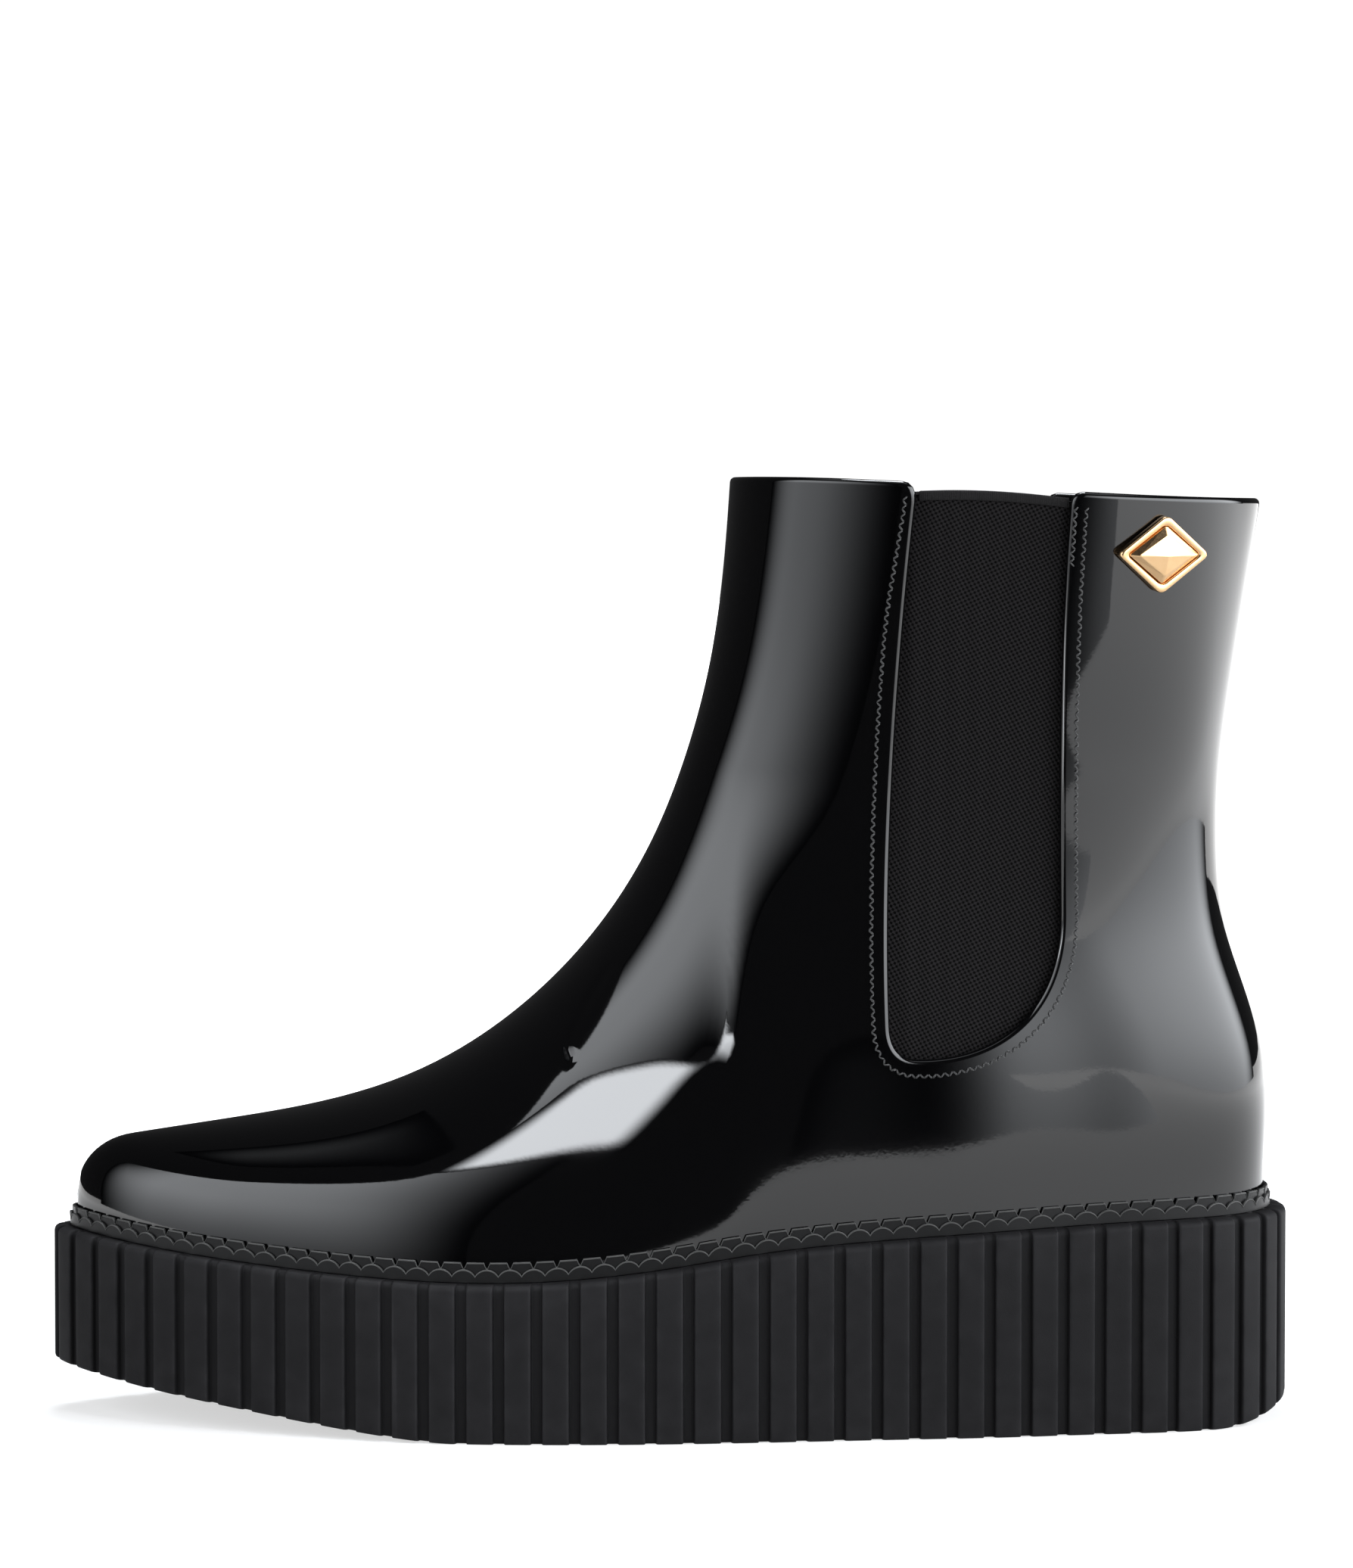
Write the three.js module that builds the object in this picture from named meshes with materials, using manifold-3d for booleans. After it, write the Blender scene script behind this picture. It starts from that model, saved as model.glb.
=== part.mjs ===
// Platform Chelsea rain boot, left foot, about EU 38.
// Millimetres, +Z up. The toe points to -X and the heel to +X. The outer side of the foot faces -Y.
// The origin is on the ground under the middle of the sole.
import * as THREE from 'three';
import { mergeVertices } from 'three/addons/utils/BufferGeometryUtils.js';
import Module from 'manifold-3d';

const wasm = await Module();
wasm.setup();

// ---------- driving dimensions ----------
const GAP = 0.3; // clearance left between pieces that touch
const BEYOND = 150; // farther out than any piece reaches in X, and in Y or Z
const BEYOND_SIDE = 90;
const TOE_X = -137.8; // front and back of the foot outline, where the upper meets the sole
const HEEL_X = 137.4;
const FOOT_LENGTH = HEEL_X - TOE_X;
const TOE_RADIUS = 7.5; // radii of the foot outline at its two ends
const HEEL_RADIUS = 30;

const UPPER_WALL = 2.4;
const TOP_FRONT_Z = 216.4; // top edge of the shaft at the shin and at the heel
const TOP_BACK_Z = 211.3;
const TOP_RAMP = [10, 135]; // the top edge eases down between these x
const TOP_CORNER = 3; // rounding where the top edge turns down into a side opening

const WELT_HEIGHT = 4.7;
const WELT_LOWER = 1.8; // how far the lower and upper tiers stand out from the upper
const WELT_UPPER = 1.2;
const WELT_STEP = [2.6, 3]; // heights between which the lower tier steps back to the upper one

const SOLE_EDGE = 5.3; // rib crests stand out this far from the foot outline
const RIB_COUNT = 76;
const RIB_DEPTH = 1.5;
const RIB_CREST = 0.62; // share of the pitch taken by the crest, and by each sloped flank
const RIB_FLANK = 0.06;
const RIB_START = -0.246; // the first crest starts this share of a pitch before the toe
const SOLE_WALL = 9;
const SOLE_FLOOR = 6;
const TREAD_DEPTH = 1.6;
const TREAD_WIDTH = 3;
const TREAD_PITCH = 9;
const TREAD_MARGIN = 9; // plain edge round the tread, counted from the rib crests
const TREAD_SPAN = [-106, 125];
const WAIST = [-6, 42]; // no tread starts under the arch
const TREAD_STEPS = 48;

const GUSSET_THICK = 1.6;
const GUSSET_MARGIN = 7; // elastic sewn behind the edge of the opening
const GUSSET_TOP_FRONT = 212.6;
const GUSSET_TOP_SLOPE = -0.05;
const BINDING_HEIGHT = 2;
const BINDING_THICK = 2.4;
const BINDING_SPAN = [55.6, 89.4];
const SEAM_OFFSET = 3.5; // stitching runs this far outside the opening
const SEAM_WIDTH = 1.3;
const SEAM_THICK = 0.35;
const SEAM_END = 3; // and stops this far below the top edge

const BADGE_X = 110;
const BADGE_Z = 199;
const BADGE_HALF_WIDTH = 11.5;
const BADGE_HALF_HEIGHT = 9;

// ---------- curves ----------
// Smooth curve through [position, value] rows. It runs on straight beyond its ends.
function smooth(rows) {
  const n = rows.length;
  const bend = new Array(n).fill(0);
  const carry = new Array(n).fill(0);
  for (let i = 1; i < n - 1; i++) {
    const before = rows[i][0] - rows[i - 1][0];
    const after = rows[i + 1][0] - rows[i][0];
    const turn = (rows[i + 1][1] - rows[i][1]) / after - (rows[i][1] - rows[i - 1][1]) / before;
    const pivot = 2 * (before + after) - before * carry[i - 1];
    carry[i] = after / pivot;
    bend[i] = (6 * turn - before * bend[i - 1]) / pivot;
  }
  for (let i = n - 2; i > 0; i--) bend[i] -= carry[i] * bend[i + 1];
  return (at) => {
    let i = 0;
    while (i < n - 2 && at > rows[i + 1][0]) i++;
    const [start, low] = rows[i];
    const [end, high] = rows[i + 1];
    const span = end - start;
    const slope = (high - low) / span;
    if (at < start) return low + (at - start) * (slope - (span * bend[i + 1]) / 6);
    if (at > end) return high + (at - end) * (slope + (span * bend[i]) / 6);
    const a = (end - at) / span;
    const b = 1 - a;
    return a * low + b * high + (((a ** 3 - a) * bend[i] + (b ** 3 - b) * bend[i + 1]) * span * span) / 6;
  };
}

// Position at which a rising function takes the given value.
function solve(rising, value, low, high) {
  for (let i = 0; i < 60; i++) {
    const middle = (low + high) / 2;
    if (rising(middle) < value) low = middle;
    else high = middle;
  }
  return (low + high) / 2;
}

const clamp = (value) => Math.min(1, Math.max(0, value));
const ease = (value) => clamp(value) ** 2 * (3 - 2 * clamp(value));

// Ridge of the vamp and front of the shaft, from the toe to the shin, as x and z.
const RIDGE = [
  [-140, 61.7], [-126.5, 63.9], [-104, 67.4], [-83.6, 71], [-60.7, 78], [-47.2, 85], [-37.2, 92],
  [-19.2, 109.5], [-5.3, 130.5], [3.5, 152], [9.1, 173], [12.2, 194], [14, 217],
];
const ridgeLength = [0];
RIDGE.slice(1).forEach(([x, z], i) => {
  ridgeLength.push(ridgeLength[i] + Math.hypot(x - RIDGE[i][0], z - RIDGE[i][1]));
});
const ridgeX = smooth(RIDGE.map((point, i) => [ridgeLength[i], point[0]]));
const ridgeZ = smooth(RIDGE.map((point, i) => [ridgeLength[i], point[1]]));
const RIDGE_SPAN = [-20, 3000];
const frontAt = (z) => ridgeX(solve(ridgeZ, z, ...RIDGE_SPAN));

// Height of the upper over x, with the round nose of the toe.
const NOSE_Z = 50;
const NOSE_LENGTH = 13;
const NOSE_POWER = 2.3;
function topAt(x) {
  const ridge = ridgeZ(solve(ridgeX, x, ...RIDGE_SPAN));
  const inward = 1 - clamp((x - TOE_X) / NOSE_LENGTH);
  return NOSE_Z + (ridge - NOSE_Z) * (1 - inward ** NOSE_POWER) ** (1 / NOSE_POWER);
}

// Back of the heel and shaft over z.
const backAt = smooth([
  [44, 137.4], [56, 137.4], [70, 138], [85, 137], [99, 132.9], [113, 128.4], [130.5, 126.4], [148, 126.7],
  [169, 129.2], [190, 132.4], [207.7, 135.3], [222, 137.5],
]);

// Top of the sole over x, on which the upper and the welt stand.
const soleTopAt = smooth([
  [-142, 43.2], [-120, 40.8], [-97, 38.6], [-75, 37], [-55, 36], [-38, 35.8], [-20, 36.7], [0, 39], [20, 42],
  [40, 44], [65, 45.6], [90, 47], [115, 48], [140, 48.4],
]);

// Underside of the sole over x: flat, with toe spring in front and a small bevel at the heel.
const SPRING_START = -48;
const SPRING_SLOPE = 0.146;
const SPRING_EASE = 14;
const BEVEL_START = 124;
const BEVEL_RATE = 0.0133;
function soleBottomAt(x) {
  const ahead = Math.max(0, SPRING_START - x);
  const behind = Math.max(0, x - BEVEL_START);
  return (SPRING_SLOPE * ahead * ahead) / (ahead + SPRING_EASE) + BEVEL_RATE * behind * behind;
}

// Foot outline: half-widths to each side of a middle line that bends inwards to the toe.
const middleAt = smooth([[-138, 4.7], [-110, 3.7], [-80, 2.7], [-50, 1.6], [-15, 0.7], [140, 0.7]]);
const OUTER_WIDTHS = [
  [-131, 11.6], [-120, 21], [-95, 33.4], [-65, 43], [-30, 46.4], [10, 43.8], [55, 37.8], [75, 35.2],
  [95, 31.4], [122, 25],
];
const INNER_WIDTHS = [
  [-131, 10.8], [-120, 19], [-95, 31.6], [-65, 42], [-30, 42.8], [10, 34.8], [55, 28.6], [95, 30], [122, 26],
];

// A half-width is sqrt(roundness * distance from the toe * distance from the heel), so both ends are round.
const reach = (x) => (x - TOE_X) * (HEEL_X - x);
function roundness(widths) {
  return smooth([
    [TOE_X, (2 * TOE_RADIUS) / FOOT_LENGTH],
    ...widths.map(([x, width]) => [x, width ** 2 / reach(x)]),
    [HEEL_X, (2 * HEEL_RADIUS) / FOOT_LENGTH],
  ]);
}
const outerRoundness = roundness(OUTER_WIDTHS);
const innerRoundness = roundness(INNER_WIDTHS);

// Half-width of the shaft over z.
const shaftWidthAt = smooth([
  [75, 36], [100, 34.6], [125, 34.4], [150, 35.6], [175, 38.2], [200, 41.2], [220, 43.8],
]);
const SHAFT_FULLNESS = 1.4;
const FOOT_TO_SHAFT = [80, 150]; // heights between which the foot shape turns into the shaft shape
const domeAt = smooth([[-137, 3], [-90, 2.7], [-50, 2.2], [0, 2], [140, 2]]);

const shaftShare = (z) => ease((z - FOOT_TO_SHAFT[0]) / (FOOT_TO_SHAFT[1] - FOOT_TO_SHAFT[0]));
const centreAt = (x, z) => middleAt(x) * (1 - shaftShare(z));

// Square of the upper's half-width at a place in the side view. It falls to zero on the silhouette.
function widthSquared(x, z, side) {
  const back = backAt(z);
  const share = shaftShare(z);
  const along = TOE_X + ((x - TOE_X) * FOOT_LENGTH) / (back - TOE_X);
  const round = side < 0 ? outerRoundness(along) : innerRoundness(along);
  const base = soleTopAt(x);
  const rise = Math.max(0, (z - base) / (topAt(x) - base));
  const foot = round * reach(along) * (1 - rise ** domeAt(x));
  if (share === 0) return foot;
  const front = frontAt(z);
  const place = (x - front) / (back - front);
  const oval = 1 - Math.abs(1 - 4 * place * (1 - place)) ** SHAFT_FULLNESS;
  return foot * (1 - share) + shaftWidthAt(z) ** 2 * oval * share;
}

// Point of the upper's outer surface on one side, and the outward direction there.
const PROBE = 0.3;
function surfaceAt(x, z, side) {
  const square = widthSquared(x, z, side);
  const onSilhouette = square < 1e-6; // both sides share the points there
  const width = onSilhouette ? 0 : Math.sqrt(square);
  const point = new THREE.Vector3(x, centreAt(x, z) + side * width, z);
  const rise = (dx, dz, of) =>
    (widthSquared(x + dx, z + dz, of) - widthSquared(x - dx, z - dz, of)) / (2 * PROBE);
  const slope = (dx, dz) =>
    (onSilhouette ? rise(dx, dz, -1) + rise(dx, dz, 1) : rise(dx, dz, side)) +
    (side * width * (centreAt(x + dx, z + dz) - centreAt(x - dx, z - dz))) / PROBE;
  const outward = new THREE.Vector3(-slope(PROBE, 0), 2 * side * width, -slope(0, PROBE)).normalize();
  return { point, outward };
}

// ---------- solids ----------
// Solid from a list of triangles' corner points. Corners in the same place become one.
function solidOf(corners) {
  const geometry = new THREE.BufferGeometry();
  const places = corners.flatMap((p) => [p.x, p.y, p.z]);
  geometry.setAttribute('position', new THREE.Float32BufferAttribute(places, 3));
  return solidFrom(geometry);
}

function solidFrom(geometry) {
  const bare = geometry.clone();
  bare.deleteAttribute('normal');
  bare.deleteAttribute('uv');
  const merged = mergeVertices(bare, 1e-4);
  const index = Array.from(merged.index.array);
  const triangles = [];
  for (let i = 0; i < index.length; i += 3) {
    const [a, b, c] = index.slice(i, i + 3);
    if (a !== b && b !== c && c !== a) triangles.push(a, b, c);
  }
  return new wasm.Manifold(new wasm.Mesh({
    numProp: 3,
    vertProperties: new Float32Array(merged.attributes.position.array),
    triVerts: new Uint32Array(triangles),
  }));
}

function geometryOf(solid) {
  const mesh = solid.getMesh();
  const geometry = new THREE.BufferGeometry();
  geometry.setAttribute('position', new THREE.Float32BufferAttribute(mesh.vertProperties, 3));
  geometry.setIndex(Array.from(mesh.triVerts));
  const flat = geometry.toNonIndexed();
  flat.computeVertexNormals();
  return flat;
}

function quad(corners, a, b, c, d) {
  corners.push(a, b, c, a, c, d);
}

// Lines across the side view start on the ridge and end on the skin's lower edge, or on its back.
// They are counted from 0 at the toe tip to 1 at the heel, and on up the back.
const LAST_LINE = 1.6;
const BACK_CLIMB = 296; // height climbed up the back per unit of the count
const EDGE_DROP = 4; // the skin runs on below the sole's top, where it is trimmed off
const ridgeOf = smooth([
  [0, 2.9], [0.1, 9.6], [0.2, 29.5], [0.3, 60.5], [0.35, 80], [0.41, 99], [0.52, 122], [0.64, 143],
  [0.78, 160], [1, 176], [1.13, 189], [1.22, 203], [1.36, 224], [1.5, 246], [1.6, 268],
]);
function edgePoint(count) {
  const x = count < 1 ? TOE_X + (FOOT_LENGTH * (1 - Math.cos(Math.PI * count))) / 2 : HEEL_X;
  const bottom = soleTopAt(x) - EDGE_DROP;
  if (count < 1) return [x, bottom];
  const z = bottom + (count - 1) * BACK_CLIMB;
  return [backAt(z), z];
}
function ridgePoint(count) {
  const x = count === 0 ? TOE_X : ridgeX(ridgeOf(count));
  return [x, topAt(x)];
}

// Closed skin of the whole upper, moved outwards by the given distance.
const SKIN_LINES = 40;
const SKIN_STEPS = 12;
function skin(offset) {
  const rows = [];
  for (let line = 0; line <= SKIN_LINES; line++) {
    const count = (LAST_LINE * line) / SKIN_LINES;
    const [x0, z0] = ridgePoint(count);
    const [x1, z1] = edgePoint(count);
    rows.push([-1, 1].map((side) => {
      const points = [];
      for (let i = 0; i <= SKIN_STEPS; i++) {
        const part = (1 - Math.cos((Math.PI * i) / SKIN_STEPS)) / 2;
        const { point, outward } = surfaceAt(x0 + (x1 - x0) * part, z0 + (z1 - z0) * part, side);
        points.push(point.addScaledVector(outward, offset));
      }
      return points;
    }));
  }
  const corners = [];
  for (let line = 0; line < SKIN_LINES; line++) {
    const [outer, inner] = rows[line];
    const [nextOuter, nextInner] = rows[line + 1];
    for (let i = 0; i < SKIN_STEPS; i++) {
      quad(corners, outer[i], outer[i + 1], nextOuter[i + 1], nextOuter[i]);
      quad(corners, inner[i], nextInner[i], nextInner[i + 1], inner[i + 1]);
    }
    quad(corners, outer[SKIN_STEPS], inner[SKIN_STEPS], nextInner[SKIN_STEPS], nextOuter[SKIN_STEPS]);
  }
  const [outer, inner] = rows[SKIN_LINES];
  for (let i = 0; i < SKIN_STEPS; i++) quad(corners, outer[i], outer[i + 1], inner[i + 1], inner[i]);
  return solidOf(corners);
}

// Foot outline moved outwards: the point at a turn from 0 to 1, starting at the toe along the outer side.
function outlinePoint(turn, offset) {
  const at = (t) => {
    const angle = 2 * Math.PI * t;
    const x = TOE_X + (FOOT_LENGTH * (1 - Math.cos(angle))) / 2;
    const round = Math.sin(angle) > 0 ? outerRoundness(x) : innerRoundness(x);
    return new THREE.Vector2(x, middleAt(x) - (Math.sin(angle) * Math.sqrt(round) * FOOT_LENGTH) / 2);
  };
  const ahead = at(turn + 1e-4).sub(at(turn - 1e-4)).normalize();
  return at(turn).add(new THREE.Vector2(ahead.y, -ahead.x).multiplyScalar(offset));
}

const OUTLINE_STEPS = 88;
function outline(offset, steps = OUTLINE_STEPS) {
  return Array.from({ length: steps }, (_, i) => outlinePoint(i / steps, offset));
}

// Slab over a foot outline, between two heights that follow x.
function slab(points, lowAt, highAt) {
  const low = points.map((p) => new THREE.Vector3(p.x, p.y, lowAt(p.x)));
  const high = points.map((p) => new THREE.Vector3(p.x, p.y, highAt(p.x)));
  const corners = [];
  const n = points.length;
  for (let i = 0; i < n; i++) quad(corners, low[i], low[(i + 1) % n], high[(i + 1) % n], high[i]);
  for (let i = 0; i < n / 2; i++) {
    quad(corners, high[i], high[i + 1], high[(n - i - 1) % n], high[(n - i) % n]);
    quad(corners, low[i], low[(n - i) % n], low[(n - i - 1) % n], low[i + 1]);
  }
  return solidOf(corners);
}

// Solid between two planes across the Y axis, over an outline of [x, z] points in the side view.
function prism(points, yFrom, yTo) {
  const shape = new THREE.Shape(points.map(([x, z]) => new THREE.Vector2(x, z)));
  const geometry = new THREE.ExtrudeGeometry(shape, { depth: yTo - yFrom, bevelEnabled: false });
  geometry.rotateX(Math.PI / 2);
  geometry.translate(0, yTo, 0);
  return solidFrom(geometry);
}

// ---------- side openings ----------
// Edge of a side opening in the side view, from its top front corner round the bottom to its top back corner.
const EDGE_POINTS = [8, 4, 8, 8]; // straight pieces in each of its four curves
function openingEdge() {
  const path = new THREE.Path();
  path.moveTo(55.8, 219);
  path.bezierCurveTo(51, 178, 48.2, 130, 49.7, 92);
  path.quadraticCurveTo(50.2, 85.3, 56, 85.2);
  path.bezierCurveTo(71, 84.8, 88.4, 92.5, 88.4, 117);
  path.bezierCurveTo(88, 145, 87.2, 185, 90.4, 219);
  const points = path.curves.flatMap((curve, i) => curve.getPoints(EDGE_POINTS[i]).slice(i ? 1 : 0));
  return points.map((p) => [p.x, p.y]);
}
const opening = openingEdge();

// The same edge moved outwards.
function openingOffset(distance) {
  return opening.map(([x, z], i) => {
    const before = opening[Math.max(0, i - 1)];
    const after = opening[Math.min(opening.length - 1, i + 1)];
    const [dx, dz] = [after[0] - before[0], after[1] - before[1]];
    const length = Math.hypot(dx, dz);
    return [x + (dz / length) * distance, z - (dx / length) * distance];
  });
}

const topEdgeAt = (x) =>
  TOP_FRONT_Z + (TOP_BACK_Z - TOP_FRONT_Z) * ease((x - TOP_RAMP[0]) / (TOP_RAMP[1] - TOP_RAMP[0]));

// Stretch of a line that lies below a limit, cut off at the limit.
function cutBelow(points, limitAt) {
  const kept = [];
  points.forEach(([x, z], i) => {
    const room = limitAt(x) - z;
    if (i > 0) {
      const [lastX, lastZ] = points[i - 1];
      const lastRoom = limitAt(lastX) - lastZ;
      const part = lastRoom / (lastRoom - room);
      if (room * lastRoom < 0) kept.push([lastX + (x - lastX) * part, lastZ + (z - lastZ) * part]);
    }
    if (room >= 0) kept.push([x, z]);
  });
  return kept;
}

// Rounded corner from a point on the opening's edge up to the top edge.
function topCorner([x, z], away) {
  const end = x + away * TOP_CORNER;
  const curve = new THREE.QuadraticBezierCurve(
    new THREE.Vector2(x, z), new THREE.Vector2(x, topEdgeAt(x)), new THREE.Vector2(end, topEdgeAt(end)));
  return curve.getPoints(4).map((p) => [p.x, p.y]);
}

// Side view of the upper with its two openings, used to trim the skin.
function upperOutline() {
  const row = (from, to, step, heightAt) => {
    const count = Math.ceil(Math.abs(to - from) / step);
    const xs = Array.from({ length: count + 1 }, (_, i) => from + ((to - from) * i) / count);
    return xs.map((x) => [x, heightAt(x)]);
  };
  const edge = cutBelow(opening, (x) => topEdgeAt(x) - TOP_CORNER);
  const front = topCorner(edge[0], -1);
  const back = topCorner(edge.at(-1), 1).reverse();
  return [
    ...row(-BEYOND, BEYOND, 10, (x) => soleTopAt(x) + GAP),
    ...row(BEYOND, back[0][0], 12, topEdgeAt), ...back.slice(1),
    ...edge.reverse().slice(1, -1),
    ...front, ...row(front.at(-1)[0], TOP_RAMP[0], 10, topEdgeAt).slice(1), [-BEYOND, TOP_FRONT_Z],
  ];
}

const gussetTopAt = (x) => GUSSET_TOP_FRONT + GUSSET_TOP_SLOPE * (x - BINDING_SPAN[0]);
const SIDES = { lateral: -1, medial: 1 };

// Panel between two depths under the upper's surface, cut to an outline in the side view.
const SIDE_REACH = [8, BEYOND_SIDE]; // distances from the middle plane that hold a side wall of the shaft
function panel(outer, inner, points, side) {
  const [from, to] = side < 0 ? [-SIDE_REACH[1], -SIDE_REACH[0]] : SIDE_REACH;
  return outer.subtract(inner).intersect(prism(points, from, to));
}

// ---------- pieces ----------
const skins = {
  surface: skin(0),
  lining: skin(-UPPER_WALL),
  elastic: skin(-UPPER_WALL - GAP),
  elasticBack: skin(-UPPER_WALL - GAP - GUSSET_THICK),
  bindingBack: skin(-UPPER_WALL - BINDING_THICK),
  seam: skin(GAP),
  seamTop: skin(GAP + SEAM_THICK),
};

function gusset(side) {
  const edge = cutBelow(openingOffset(GUSSET_MARGIN), (x) => gussetTopAt(x) - BINDING_HEIGHT - GAP);
  return panel(skins.elastic, skins.elasticBack, edge, side);
}

function binding(side) {
  const [left, right] = BINDING_SPAN;
  const points = [
    [left, gussetTopAt(left) - BINDING_HEIGHT], [right, gussetTopAt(right) - BINDING_HEIGHT],
    [right, gussetTopAt(right)], [left, gussetTopAt(left)],
  ];
  return panel(skins.lining, skins.bindingBack, points, side);
}

function seam(side) {
  const edgeAt = (distance) => cutBelow(openingOffset(distance), (x) => topEdgeAt(x) - SEAM_END);
  const points = [...edgeAt(SEAM_OFFSET + SEAM_WIDTH / 2), ...edgeAt(SEAM_OFFSET - SEAM_WIDTH / 2).reverse()];
  return panel(skins.seamTop, skins.seam, points, side);
}

// Ring with a stepped section around the foot outline.
function welt() {
  const section = [
    [GAP, GAP], [WELT_LOWER, GAP], [WELT_LOWER, WELT_STEP[0]],
    [WELT_UPPER, WELT_STEP[1]], [WELT_UPPER, WELT_HEIGHT], [GAP, WELT_HEIGHT],
  ];
  const rings = section.map(([offset, height]) =>
    outline(offset).map((p) => new THREE.Vector3(p.x, p.y, soleTopAt(p.x) + height)));
  const corners = [];
  for (let i = 0; i < OUTLINE_STEPS; i++) {
    const next = (i + 1) % OUTLINE_STEPS;
    rings.forEach((ring, j) => {
      const above = rings[(j + 1) % rings.length];
      quad(corners, ring[i], ring[next], above[next], above[i]);
    });
  }
  return solidOf(corners);
}

// Turns of the outline that are equally far apart along its length.
function evenTurns(count, offset) {
  const fine = 4000;
  const lengths = [0];
  let last = outlinePoint(0, offset);
  for (let i = 1; i <= fine; i++) {
    const point = outlinePoint(i / fine, offset);
    lengths.push(lengths[i - 1] + point.distanceTo(last));
    last = point;
  }
  const turns = [];
  let i = 0;
  for (let k = 0; k < count; k++) {
    const goal = (lengths[fine] * k) / count;
    while (lengths[i + 1] < goal) i++;
    turns.push((i + (goal - lengths[i]) / (lengths[i + 1] - lengths[i])) / fine);
  }
  return turns;
}

function ribbedOutline() {
  const starts = evenTurns(RIB_COUNT, SOLE_EDGE);
  const places = [0, RIB_CREST, RIB_CREST + RIB_FLANK, 1 - RIB_FLANK];
  const depths = [0, 0, RIB_DEPTH, RIB_DEPTH];
  return starts.flatMap((start, k) => {
    const pitch = (starts[k + 1] ?? 1) - start;
    return places.map((place, i) => outlinePoint(start + pitch * (RIB_START + place), SOLE_EDGE - depths[i]));
  });
}

// Block between two x, wider and taller than the sole.
function crosswise(from, to) {
  const geometry = new THREE.BoxGeometry(to - from, 2 * BEYOND_SIDE, 2 * BEYOND_SIDE);
  geometry.translate((from + to) / 2, 0, 0);
  return solidFrom(geometry);
}

// The sole has two pockets, each filled by a light foam core.
const POCKET_STEPS = 40;
const CUT_PAST = 5; // cuts run this far past the face they start from
const POCKETS = { forefoot: [-118, -4], heel: [4, 122] };
function pocket([from, to], clearance) {
  const points = outline(SOLE_EDGE - SOLE_WALL - clearance, POCKET_STEPS);
  const low = (x) => soleBottomAt(x) + SOLE_FLOOR + clearance;
  const high = (x) => soleTopAt(x) + (clearance ? -clearance : CUT_PAST);
  return slab(points, low, high).intersect(crosswise(from + clearance, to - clearance));
}

function platform() {
  let solid = slab(ribbedOutline(), soleBottomAt, soleTopAt);
  for (const range of Object.values(POCKETS)) solid = solid.subtract(pocket(range, 0));
  const treadOutline = outline(SOLE_EDGE - TREAD_MARGIN, TREAD_STEPS);
  const tread = slab(treadOutline, () => -CUT_PAST, (x) => soleBottomAt(x) + TREAD_DEPTH);
  for (let x = TREAD_SPAN[0]; x < TREAD_SPAN[1]; x += TREAD_PITCH) {
    if (x > WAIST[0] && x < WAIST[1]) continue;
    solid = solid.subtract(tread.intersect(crosswise(x, x + TREAD_WIDTH)));
  }
  return solid;
}

// The footbed layers, as heights above the sole's top.
const FOOTBED_CLEARANCE = 1;
const FOOTBED_STEPS = 64;
const FOOTBED = { board: [GAP, 2], foam: [2 + GAP, 6.3], cover: [6.3 + GAP, 7.6] };
function footbedLayer([low, high]) {
  const points = outline(-UPPER_WALL - FOOTBED_CLEARANCE, FOOTBED_STEPS);
  return slab(points, (x) => soleTopAt(x) + low, (x) => soleTopAt(x) + high);
}

// Badge: a lozenge tray with two cast posts through the upper, held inside by push nuts.
const badge = surfaceAt(BADGE_X, BADGE_Z, -1);
const badgeTurn = new THREE.Matrix4().makeBasis(
  new THREE.Vector3(0, 0, 1).cross(badge.outward).normalize(),
  badge.outward.clone().cross(new THREE.Vector3(0, 0, 1).cross(badge.outward).normalize()),
  badge.outward,
);
const badgePlace = badgeTurn.setPosition(badge.point);
const POST_RADIUS = 0.9;
const POST_SPACING = 6;
const POST_LENGTH = 5.6;
const NUT_RADIUS = 3;
const NUT_THICK = 0.8;
const TRAY_THICK = 2;
const TRAY_FLOOR = 0.8;
const RIM_WIDTH = 1.6;
const TIP_SHARPNESS = [1.4, 1.3]; // the tips lie this much farther in than the edges, in width and in height
const STUD_GAP = 0.5;
const STUD_LEVELS = [0.9, 2.2, 2.9]; // top of the stud's foot, its facets and its tip
const STUD_FACET = 0.62;

function lozengeTips(inset) {
  const [w, h] = [BADGE_HALF_WIDTH - inset * TIP_SHARPNESS[0], BADGE_HALF_HEIGHT - inset * TIP_SHARPNESS[1]];
  return [[w, 0], [0, h], [-w, 0], [0, -h]].map((p) => new THREE.Vector2(...p));
}

function lozenge(inset, corner) {
  const tips = lozengeTips(inset);
  const shape = new THREE.Shape();
  tips.forEach((tip, i) => {
    const from = tip.clone().lerp(tips[(i + 3) % 4], corner);
    const to = tip.clone().lerp(tips[(i + 1) % 4], corner);
    if (i === 0) shape.moveTo(from.x, from.y);
    else shape.lineTo(from.x, from.y);
    shape.quadraticCurveTo(tip.x, tip.y, to.x, to.y);
  });
  return shape;
}

function plate(shape, low, high) {
  const geometry = new THREE.ExtrudeGeometry(
    shape, { depth: high - low, bevelEnabled: false, curveSegments: 4 });
  geometry.translate(0, 0, low);
  return solidFrom(geometry);
}

function rod(radius, low, high, x) {
  const geometry = new THREE.CylinderGeometry(radius, radius, high - low, 20);
  geometry.rotateX(Math.PI / 2);
  geometry.translate(x, 0, (low + high) / 2);
  return solidFrom(geometry);
}

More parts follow.
